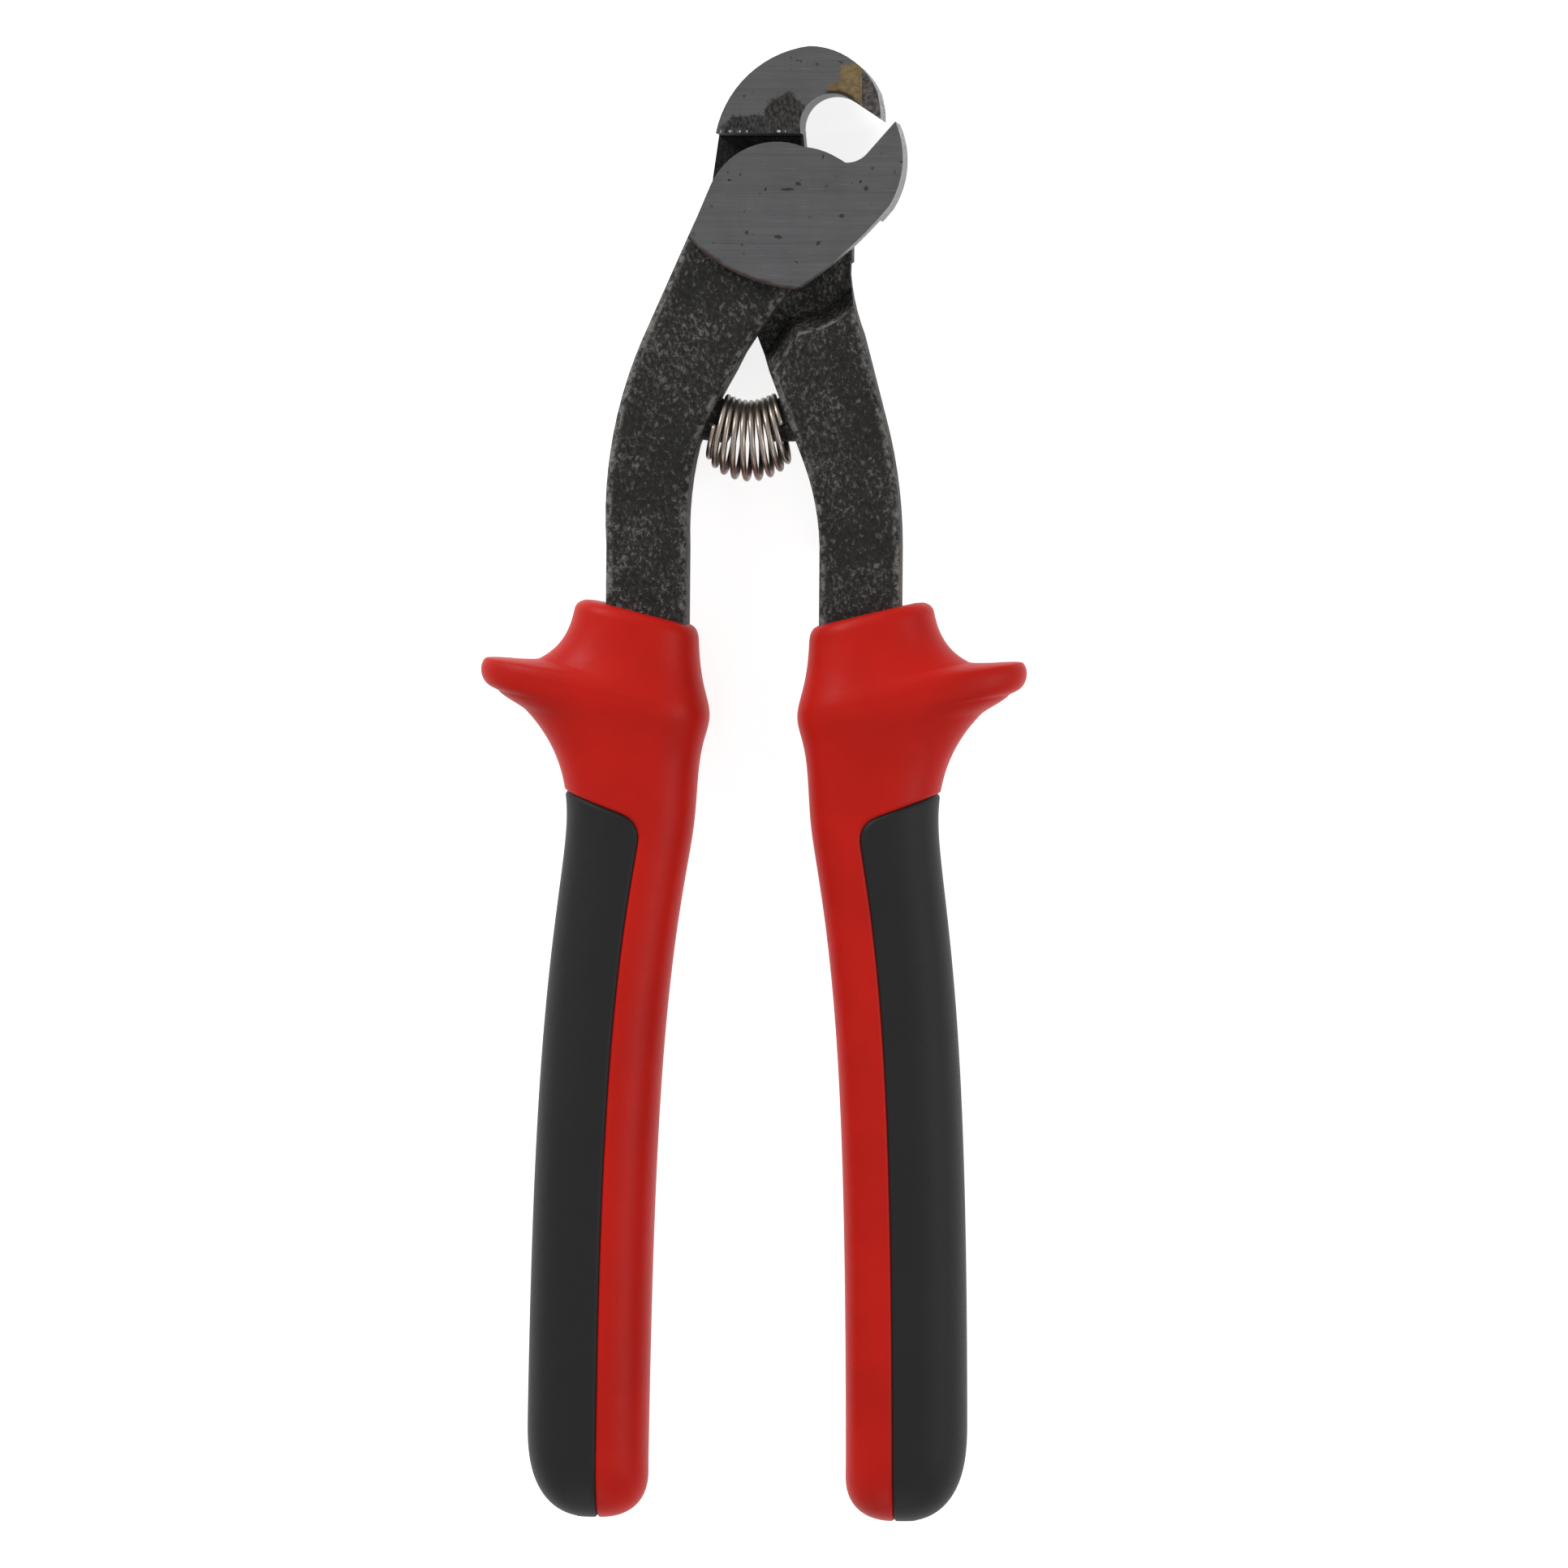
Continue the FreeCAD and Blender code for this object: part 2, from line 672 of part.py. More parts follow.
def lip(rise, size):
    """How far the guard stands out at a height above its ridge: a rounded nose, with a fillet
    that dies away exponentially on each side of it."""
    away = abs(rise)
    nose_r = size["guard_nose_r"]
    if rise > 0:
        fillet = size["upper_fillet"] * math.exp(-away / size["upper_run"])
        start, stop = 0.95 * nose_r, 1.24 * nose_r
    else:
        fillet = size["lower_fillet"] * math.exp(-away / size["lower_run"])
        start, stop = 0.76 * nose_r, 1.43 * nose_r
    nose = size["guard_reach"] - nose_r + math.sqrt(nose_r**2 - min(away, nose_r) ** 2)
    share = min(1, max(0, (away - start) / (stop - start)))
    return nose + (fillet - nose) * share**2 * (3 - 2 * share)


def grip_section(rise, inset, size, sides):
    """A cross-section of the grip, by its height above the guard's ridge, as handle points.
    Its two halves are superellipses: the outer one reaches out to the guard."""
    below = size["ridge_v"] - rise
    bow = 1 - math.exp(-ramp_up(below - size["bow_start"], 5) / size["bow_run"])
    to_rim = min(size["rim_rise"] - rise, size["rim_round"]) / size["rim_round"]
    edge = size["rim_round"] * (1 - math.sqrt(max(0, 1 - (1 - to_rim) ** 2))) * 0.6
    full = size["grip_end"] - inset - size["end_round"]
    past = max(0, below - full) / size["end_round"]
    close = (1 - min(past, 0.99) ** 2.5) ** 0.4
    guard = lip(rise, size)
    outer = size["grip_half_wide"] + guard - inset - edge * 1.5
    inner = size["grip_half_wide"] + size["guard_inner"] * hump(rise, size["guard_inner_run"]) - inset - edge
    thick = size["grip_half_thick"] + size["ridge_rise"] * guard / size["guard_reach"] - inset - edge
    thick += size["belly_rise"] * math.exp(-(((below - size["belly_v"]) / size["belly_run"]) ** 2))
    tilt = math.radians(ramp_up(size["ridge_tilt"] + 0.22 * rise, 2))
    middle_u = size["neck_u"] + size["grip_bow"] * bow - 1.2 * (1 - close)
    points = []
    for step in range(sides):
        angle = 2 * math.pi * step / sides
        reach = outer if math.cos(angle) > 0 else inner
        along = close * reach * math.copysign(abs(math.cos(angle)) ** 0.8, math.cos(angle))
        across = close * thick * math.copysign(abs(math.sin(angle)) ** 0.8, math.sin(angle))
        points.append(
            Vector(middle_u + along * math.cos(tilt), along * math.sin(tilt) - below, across)
        )
    return points


def grip_solid(name, handle, inset):
    """The grip's outside, or the same moved in by an inset, lofted through its sections."""
    size = {alias: number(alias) for alias in SIZES}
    sides, lower = (10, 7) if inset else (18, 8)
    top = size["rim_rise"]
    nose_r = size["guard_nose_r"]
    full = size["grip_end"] - inset - size["end_round"] - size["ridge_v"]
    rises = [top, top - size["rim_round"] * 0.3, top - size["rim_round"]]
    rises += [nose_r * share for share in (3.4, 2.3, 1.24, 1.0, 0.6, 0, -0.6, -1.0, -1.5, -2.4)]
    low = rises[-1]
    rises += [low - (full + low) * (step / lower) ** 1.6 for step in range(1, lower + 1)]
    rises += [-full - size["end_round"] * share for share in (0.4, 0.7, 0.9, 0.99)]
    wires = []
    for rise in rises:
        points = grip_section(rise, inset, size, sides)
        wires.append(Part.makePolygon(points + points[:1]))
    made = doc.addObject("Part::Feature", name)
    made.Shape = Part.makeLoft(wires, True, True)
    bind(made, "Placement", HANDLE[handle])
    return made


def joined(kind, name, base, tool):
    made = doc.addObject(kind, name)
    made.Label = name
    made.Base = base
    made.Tool = tool
    made.Refine = False
    doc.recompute()
    return made


def grip(handle, lever):
    """Hard core and soft outer side of one grip."""
    outside = grip_solid(f"{handle}_grip_outside", handle, 0)
    inside = grip_solid(f"{handle}_grip_inside", handle, number("soft_thick"))
    inner_edge = "neck_u - soft_share"
    low_edge = "neck_u + grip_bow - soft_share"
    rise = "tan(soft_slope)"
    corners = [
        (f"{inner_edge} + soft_corner", f"-soft_top + soft_corner * {rise}"),
        (f"{inner_edge} + 0.5", "-(soft_top + soft_corner - 0.6)"),
        (f"{low_edge} - 0.4", "-belly_v"),
        (f"{low_edge}", "-(grip_end + 10)"),
        ("60", "-(grip_end + 10)"),
        ("60", f"-soft_top + (60 - {inner_edge}) * {rise}"),
    ]
    region = body(f"{handle}_soft_region")
    drawn = outline(region, f"{handle}_soft_side", corners, {0: "soft_corner", 1: "-420"}, handle=handle)
    pad(region, drawn, "60", both_ways=True)
    block = joined("Part::Cut", f"{handle}_soft_block", region, inside)
    soft = joined("Part::Common", f"{handle}_grip_soft", outside, block)
    hard = joined("Part::Cut", f"{handle}_grip_hard", outside, block)
    core = joined("Part::Cut", f"{handle}_grip_core", hard, lever)
    return [core, soft]


# ---------------------------------------------------------------- build, check and write


def main():
    right = rear_lever()
    left = front_lever()
    parts = [right, left, rivet(), *tips(), return_spring()]
    parts += grip("right", right) + grip("left", left)
    doc.recompute()
    for thing in doc.Objects:
        if "Invalid" in thing.State or "Error" in thing.State:
            raise ValueError(f"{thing.Name} has state {thing.State}")
    for made in parts:
        if made.Shape.isNull() or not made.Shape.isValid() or len(made.Shape.Solids) != 1:
            raise ValueError(f"{made.Label} is not one sound solid")
        made.Shape.exportStep(f"parts/{made.Label}.step")
        print(made.Label, round(made.Shape.Volume, 1))


main()
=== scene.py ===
"""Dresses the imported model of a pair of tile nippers: forged levers with a ground head, carbide
tips, a bent barrel spring and two-colour grips."""

import math

import bmesh
import bpy
import numpy as np
from mathutils import Matrix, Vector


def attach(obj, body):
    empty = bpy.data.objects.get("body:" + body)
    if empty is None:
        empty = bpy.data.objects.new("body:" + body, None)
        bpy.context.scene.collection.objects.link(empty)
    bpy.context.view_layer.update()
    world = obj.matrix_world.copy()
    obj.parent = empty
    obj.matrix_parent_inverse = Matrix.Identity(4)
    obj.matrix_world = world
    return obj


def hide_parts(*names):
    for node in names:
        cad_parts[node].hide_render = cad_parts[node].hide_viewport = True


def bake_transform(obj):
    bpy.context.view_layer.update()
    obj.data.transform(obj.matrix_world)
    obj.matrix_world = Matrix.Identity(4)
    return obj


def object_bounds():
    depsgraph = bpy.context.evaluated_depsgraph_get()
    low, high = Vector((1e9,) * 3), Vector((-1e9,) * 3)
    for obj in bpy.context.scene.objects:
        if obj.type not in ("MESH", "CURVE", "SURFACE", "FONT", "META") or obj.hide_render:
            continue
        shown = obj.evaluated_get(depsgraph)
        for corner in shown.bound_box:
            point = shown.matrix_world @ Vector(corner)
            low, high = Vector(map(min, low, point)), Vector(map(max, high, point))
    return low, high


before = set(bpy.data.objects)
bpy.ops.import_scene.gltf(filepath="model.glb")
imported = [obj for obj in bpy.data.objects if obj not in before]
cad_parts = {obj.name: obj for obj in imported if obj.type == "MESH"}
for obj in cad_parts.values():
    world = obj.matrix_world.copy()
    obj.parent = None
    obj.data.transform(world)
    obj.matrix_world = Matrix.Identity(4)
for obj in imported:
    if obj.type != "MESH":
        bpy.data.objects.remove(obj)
CAD_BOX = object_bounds()

bl_info = {
    "name": "Tile nippers",
    "version": (1, 0, 0),
    "blender": (4, 5, 0),
    "location": "3D View > Sidebar > Nippers",
    "description": "Builds the finished surfaces of a pair of tile nippers on their packed model",
    "category": "Object",
}

MM = 0.001
MIDDLE = 7.0  # height of the tool's middle plane above the head's back face


# ---------------------------------------------------------------- meshes


def mesh_piece(name, points, faces, body, material, smooth=True):
    """An object from points in millimetres, riding on a body."""
    mesh = bpy.data.meshes.new(name)
    mesh.from_pydata((np.asarray(points) * MM).tolist(), [], faces)
    mesh.validate()
    made = bpy.data.objects.new(name, mesh)
    bpy.context.scene.collection.objects.link(made)
    mesh.polygons.foreach_set("use_smooth", np.full(len(mesh.polygons), smooth))
    mesh.materials.append(material)
    if body:
        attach(made, body)
    return made


def grid_faces(rows, columns):
    """Quads of a grid whose columns close on themselves, rows in order."""
    row, column = np.meshgrid(np.arange(rows - 1), np.arange(columns), indexing="ij")
    after = (column + 1) % columns
    first = row * columns
    quads = np.stack(
        [first + column, first + after, first + columns + after, first + columns + column], -1
    )
    return quads.reshape(-1, 4).tolist()


def closed_tube(grid):
    """Points and faces of a grid (rows, columns, 3) closed by a middle point at each end."""
    rows, columns = grid.shape[:2]
    points = np.concatenate([grid.reshape(-1, 3), grid[:1].mean(1), grid[-1:].mean(1)])
    faces = grid_faces(rows, columns)
    first, last = rows * columns, rows * columns + 1
    ring = np.arange(columns)
    after = (ring + 1) % columns
    faces += np.stack([np.full(columns, first), after, ring], -1).tolist()
    base = (rows - 1) * columns
    faces += np.stack([np.full(columns, last), base + ring, base + after], -1).tolist()
    return points, faces


def outward(made):
    """Turns every face outwards."""
    shape = bmesh.new()
    shape.from_mesh(made.data)
    bmesh.ops.recalc_face_normals(shape, faces=shape.faces)
    shape.to_mesh(made.data)
    shape.free()
    return made


def hump(distance, width):
    """A bell that is 1 at no distance and dies away as a hyperbolic secant."""
    return 1 / np.cosh(np.clip(distance / width, -30, 30))


def soft_step(low, high, value):
    """0 up to low, 1 from high on, and a smooth cubic between them."""
    share = np.clip((value - low) / (high - low), 0, 1)
    return share * share * (3 - 2 * share)


def ramp_up(distance, width):
    """A hyperbola that runs from 0, well before no distance, to the distance itself."""
    return (distance + np.hypot(distance, width)) / 2


# ---------------------------------------------------------------- shader nodes


class Graph:
    """Short hand for building a node tree."""

    def __init__(self, tree):
        self.tree = tree

    def add(self, kind, inputs=None, **settings):
        made = self.tree.nodes.new(kind)
        for name, value in settings.items():
            setattr(made, name, value)
        for name, value in (inputs or {}).items():
            self.feed(made.inputs[name], value)
        return made

    def feed(self, socket, value):
        if isinstance(value, bpy.types.NodeSocket):
            self.tree.links.new(value, socket)
        elif isinstance(value, (tuple, list)) and len(value) == 3 and socket.type == "RGBA":
            socket.default_value = (*value, 1)
        else:
            socket.default_value = value

    def math(self, operation, first, second=0.0):
        return self.add("ShaderNodeMath", {0: first, 1: second}, operation=operation).outputs[0]

    def times(self, *factors):
        made = factors[0]
        for factor in factors[1:]:
            made = self.math("MULTIPLY", made, factor)
        return made

    def plus(self, *terms):
        made = terms[0]
        for term in terms[1:]:
            made = self.math("ADD", made, term)
        return made

    def band(self, value, low, high, to_low=0.0, to_high=1.0):
        """Maps a value smoothly from low..high to to_low..to_high."""
        inputs = {"Value": value, "From Min": low, "From Max": high}
        inputs.update({"To Min": to_low, "To Max": to_high})
        made = self.add("ShaderNodeMapRange", inputs, interpolation_type="SMOOTHSTEP")
        return made.outputs["Result"]

    def blend(self, share, first, second):
        made = self.add("ShaderNodeMix", data_type="RGBA")
        self.feed(made.inputs["Factor"], share)
        self.feed(made.inputs[6], first)
        self.feed(made.inputs[7], second)
        return made.outputs[2]

    def lerp(self, share, first, second):
        made = self.add("ShaderNodeMix", data_type="FLOAT")
        self.feed(made.inputs["Factor"], share)
        self.feed(made.inputs[2], first)
        self.feed(made.inputs[3], second)
        return made.outputs[0]

    def place(self, scale=(1, 1, 1), move=(0, 0, 0), turn=0.0):
        """Object coordinates in millimetres, moved, then turned about Z and stretched."""
        where = self.add("ShaderNodeTexCoord").outputs["Object"]
        made = self.add(
            "ShaderNodeMapping",
            {"Vector": where, "Location": move, "Rotation": (0, 0, turn)},
            vector_type="POINT",
        )
        self.feed(made.inputs["Scale"], tuple(1000 * part for part in scale))
        return made.outputs[0]

    def axes(self):
        """X, Y and Z of the object's own coordinates, in millimetres."""
        apart = self.add("ShaderNodeSeparateXYZ", {0: self.place()})
        return apart.outputs[0], apart.outputs[1], apart.outputs[2]

    def noise(self, where, scale, detail=3.0, rough=0.55, distortion=0.0):
        inputs = {"Vector": where, "Scale": scale, "Detail": detail}
        inputs.update({"Roughness": rough, "Distortion": distortion})
        return self.add("ShaderNodeTexNoise", inputs).outputs["Fac"]

    def cells(self, where, scale):
        """Distance to the nearest of a field of scattered points, in cells."""
        made = self.add("ShaderNodeTexVoronoi", {"Vector": where, "Scale": scale})
        return made.outputs["Distance"]

    def wander(self, noise, reach):
        """A noise moved to lie evenly about 0, times a reach."""
        return self.times(self.plus(noise, -0.5), reach)

    def distance(self, x, y, centre):
        """Distance from a point in the XY plane."""
        across = self.math("POWER", self.plus(x, -centre[0]), 2)
        along = self.math("POWER", self.plus(y, -centre[1]), 2)
        return self.math("SQRT", self.plus(across, along))

    def ellipse(self, x, y, centre, reach):
        """1 inside an ellipse in the XY plane, falling to 0 at its edge and beyond."""
        squares = []
        for value, middle, half in zip((x, y), centre, reach):
            share = self.math("ABSOLUTE", self.times(self.plus(value, -middle), 1 / half))
            squares.append(self.math("POWER", share, 2))
        return self.band(self.plus(*squares), 1.0, 0.15)


def group(name, inputs, outputs):
    """An empty node group with its sockets, as (tree, graph, input sockets, output node)."""
    tree = bpy.data.node_groups.new(name, "ShaderNodeTree")
    for label, (kind, value) in inputs.items():
        socket = tree.interface.new_socket(label, in_out="INPUT", socket_type=kind)
        socket.default_value = value
    for label, kind in outputs.items():
        tree.interface.new_socket(label, in_out="OUTPUT", socket_type=kind)
    graph = Graph(tree)
    source = tree.nodes.new("NodeGroupInput")
    sink = tree.nodes.new("NodeGroupOutput")
    return tree, graph, source.outputs, sink.inputs


FLOAT, COLOUR = "NodeSocketFloat", "NodeSocketColor"


def ground_steel_group():
    """Surface-ground steel: fine lines along X, faint bands, and scattered small pits."""
    inputs = {"Colour": (COLOUR, (0.1, 0.1, 0.1, 1)), "Lines": (FLOAT, 1.0), "Pits": (FLOAT, 1.0)}
    outputs = {"Colour": COLOUR, "Roughness": FLOAT, "Height": FLOAT}
    tree, graph, given, out = group("ground_steel", inputs, outputs)
    fine = graph.noise(graph.place((0.05, 6.0, 6.0), turn=0.03), 1.0, 4.0, 0.7)
    coarse = graph.noise(graph.place((0.02, 1.1, 1.1), turn=0.03), 1.0, 3.0, 0.6)
    cloud = graph.noise(graph.place(), 0.16, 3.0, 0.6)
    lone = graph.band(graph.noise(graph.place((0.16, 4.5, 4.5), turn=-0.12), 1.0, 1.0), 0.68, 0.76)
    spots = graph.band(graph.noise(graph.place(), 1.3, 2.0, 0.5, 0.5), 0.66, 0.74)
    patches = graph.band(graph.noise(graph.place(), 0.3, 1.0), 0.44, 0.6)
    spots = graph.times(spots, patches, given["Pits"])
    rare = graph.band(graph.noise(graph.place(), 0.55, 2.0, 0.6), 0.5, 0.66)
    torn = graph.times(graph.noise(graph.place(), 4.0, 3.0), 0.22)
    fleck = graph.plus(graph.cells(graph.place(), 0.5), torn, -0.11)
    fleck = graph.times(graph.band(fleck, 0.2, 0.07), rare)
    spots = graph.math("MAXIMUM", spots, graph.times(fleck, given["Pits"], 0.7))
    lines = graph.times(graph.plus(graph.times(fine, 0.7), graph.times(coarse, 0.3)), given["Lines"])
    shade = graph.plus(graph.wander(lines, 1.1), graph.wander(cloud, 0.4), 1.0)
    shade = graph.plus(shade, graph.times(lone, 0.4))
    lit = graph.add("ShaderNodeVectorMath", {0: given["Colour"], "Scale": shade}, operation="SCALE")
    graph.feed(out["Colour"], graph.blend(spots, lit.outputs[0], (0.03, 0.028, 0.026)))
    graph.feed(out["Roughness"], graph.plus(graph.times(fine, 0.16), graph.times(spots, 0.25), 0.36))
    height = graph.plus(graph.times(fine, 0.004), graph.times(coarse, 0.004), graph.times(spots, -0.05))
    graph.feed(out["Height"], height)
    return tree


def forge_scale_group():
    """Shot-blasted forging scale: a pebbled skin with painted shade in its hollows, and a grey on its
    tops that is partly rubbed metal and partly painted highlight.
    """
    inputs = {"Colour": (COLOUR, (0.04, 0.04, 0.04, 1)), "Rubbed and highlight": (COLOUR, (0.14, 0.135, 0.13, 1))}
    outputs = {"Colour": COLOUR, "Roughness": FLOAT, "Height": FLOAT}
    tree, graph, given, out = group("forge_scale", inputs, outputs)
    where = graph.place()
    grain = graph.noise(graph.place((1.0, 0.72, 1.0), turn=0.45), 1.9, 3.0, 0.62, 0.5)
    fine = graph.noise(where, 4.6, 3.0, 0.65)
    dents = graph.noise(where, 0.42, 2.0, 0.5)
    cloud = graph.noise(where, 0.1, 3.0, 0.55)
    skin = graph.plus(graph.times(grain, 0.62), graph.times(fine, 0.23), graph.times(dents, 0.15))
    # Painted shade darkens the skin's hollows, and the grey on its tops is rubbed metal and painted
    # highlight together.
    painted_hollow_shade = graph.band(skin, 0.49, 0.38)
    top = graph.band(graph.plus(skin, graph.wander(cloud, 0.16)), 0.505, 0.66)
    shade = graph.band(cloud, 0.3, 0.7, 0.8, 1.25)
    base = graph.add("ShaderNodeVectorMath", {0: given["Colour"], "Scale": shade}, operation="SCALE")
    colour = graph.blend(painted_hollow_shade, base.outputs[0], (0.008, 0.0075, 0.007))
    graph.feed(out["Colour"], graph.blend(top, colour, given["Rubbed and highlight"]))
    graph.feed(out["Roughness"], graph.plus(graph.times(top, -0.2), graph.times(fine, 0.12), 0.56))
    height = graph.plus(graph.times(grain, 0.75), graph.times(fine, 0.2), graph.times(dents, 0.5))
    graph.feed(out["Height"], height)
    return tree


def material(name):
    """A new material, as (material, graph, the inputs of its shader)."""
    made = bpy.data.materials.new(name)
    made.use_nodes = True
    tree = made.node_tree
    tree.nodes.clear()
    graph = Graph(tree)
    shader = graph.add("ShaderNodeBsdfPrincipled")
    sink = graph.add("ShaderNodeOutputMaterial")
    tree.links.new(shader.outputs[0], sink.inputs["Surface"])
    return made, graph, shader.inputs


def use(graph, tree, **inputs):
    made = graph.add("ShaderNodeGroup", node_tree=tree)
    for name, value in inputs.items():
        graph.feed(made.inputs[name], value)
    return made.outputs


def bump(graph, height, distance):
    """A bump whose height is in millimetres times the distance."""
    return graph.add("ShaderNodeBump", {"Height": height, "Distance": distance * MM}).outputs[0]


def shared(name, builder):
    return bpy.data.node_groups.get(name) or builder()


def ground_steel(graph):
    """The shared ground steel in the colour that is set for it."""
    colour = tuple(bpy.context.scene.nippers.ground_steel)
    return use(graph, shared("ground_steel", ground_steel_group), Colour=colour)


def from_middle(graph, z):
    """Distance from the tool's middle plane."""
    return graph.math("ABSOLUTE", graph.plus(z, -MIDDLE))


def on_front(graph, z):
    """1 on the head's front faces, 0 further back."""
    return graph.band(z, 13.0, 13.9)


PAD_CENTRE = (4.75, 13.5)  # of the arc that bounds the lower lever's ground face
MOUTH_CENTRE = (7.7, 12.3)
EDGE_Y = 11.5  # lower edge of the upper lever's ground face
PITS = (  # the larger pits, each as its middle and its half axes
    ((3.0, 4.25), (0.45, 0.36)),
    ((1.5, 3.5), (1.2, 0.24)),
    ((12.4, 3.6), (0.34, 0.36)),
    ((9.1, -0.2), (0.44, 0.3)),
    ((5.8, -4.0), (0.4, 0.4)),
    ((0.2, -3.1), (0.75, 0.3)),
    ((-4.2, -2.5), (0.34, 0.34)),
)


def pitted(graph, x, y, colour, where):
    """The lower face's larger pits, which run on over the rivet's head."""
    frayed_x = graph.plus(x, graph.wander(graph.noise(graph.place(), 2.4, 4.0, 0.75), 1.1))
    frayed_y = graph.plus(y, graph.wander(graph.noise(graph.place(), 3.1, 4.0, 0.75), 0.9))
    for middle, half_axes in PITS:
        inside = graph.ellipse(frayed_x, frayed_y, middle, half_axes)
        pit = graph.times(graph.band(inside, 0.0, 0.6), where)
        colour = graph.blend(graph.times(pit, 0.8), colour, (0.022, 0.02, 0.019))
    return colour


def smudged(graph, x, y, colour, where):
    """A dark, cloudy smudge across the upper face."""
    one = graph.wander(graph.noise(graph.place(), 0.45, 4.0, 0.65), 3.2)
    other = graph.noise(graph.place((1, 1, 1), (7.0, 3.0, 0.0)), 0.6, 4.0, 0.7)
    other = graph.wander(other, 4.5)
    smudge = graph.math(
        "MAXIMUM",
        graph.ellipse(graph.plus(x, one), graph.plus(y, other), (1.3, 13.6), (3.4, 4.0)),
        graph.ellipse(graph.plus(x, other), graph.plus(y, one), (-3.2, 12.0), (5.4, 2.2)),
    )
    smudge = graph.times(graph.band(smudge, 0.0, 0.55), where)
    grime = graph.noise(graph.place((1.2, 0.6, 1)), 2.2, 5.0, 0.75)
    grime = graph.band(grime, 0.4, 0.64, 1.0, 0.45)
    return graph.blend(graph.times(smudge, grime), colour, (0.016, 0.014, 0.012))


def brassy(graph, x, y, wobble, colour, where):
    """Braze spilt beside the upper tip: a ragged patch with a lobe below it, redder inwards."""
    braze = tuple(bpy.context.scene.nippers.braze)
    torn = graph.noise(graph.place(), 1.9, 4.0, 0.75)
    ragged = graph.plus(graph.wander(wobble, 1.4), graph.wander(torn, 1.5))
    patch = graph.times(
        graph.band(graph.plus(x, ragged), 8.75, 9.05),
        graph.band(graph.plus(y, ragged, graph.times(x, 0.35)), 19.4, 19.9),
        graph.band(graph.plus(y, graph.times(ragged, 0.5)), 21.0, 20.7),
        where,
    )
    lobe = graph.ellipse(graph.plus(x, ragged), y, (8.3, 17.5), (1.5, 1.0))
    lobe = graph.band(graph.times(lobe, where), 0.2, 0.5)
    cloud = graph.noise(graph.place(), 1.4, 4.0, 0.65)
    brass = graph.blend(graph.band(cloud, 0.35, 0.68), (0.12, 0.085, 0.04), braze)
    reddish = graph.times(graph.band(x, 9.2, 8.4), 0.5)
    brass = graph.blend(reddish, brass, (0.12, 0.06, 0.035))
    return graph.blend(graph.math("MAXIMUM", patch, lobe), colour, brass)


def worn_edges(graph, x, y, wobble, colour, where):
    """Bright chips along the upper face's lower edge, and a dark line round the mouth."""
    from_edge = graph.math("ABSOLUTE", graph.plus(y, -EDGE_Y, graph.times(wobble, -0.12)))
    chips = graph.times(
        graph.band(from_edge, 0.2, 0.08),
        graph.band(graph.noise(graph.place((1, 0.3, 1)), 1.7, 3.0, 0.7), 0.57, 0.62),
        where,
    )
    colour = graph.blend(graph.times(chips, 0.9), colour, (0.5, 0.49, 0.47))
    from_mouth = graph.plus(graph.distance(x, y, MOUTH_CENTRE), graph.wander(wobble, 1.2))
    dark = graph.times(
        graph.band(from_mouth, 5.1, 4.75),
        graph.band(y, 14.5, 15.5),
        graph.band(x, 6.4, 7.4),
        where,
    )
    return graph.blend(graph.times(dark, 0.9), colour, (0.02, 0.018, 0.016))


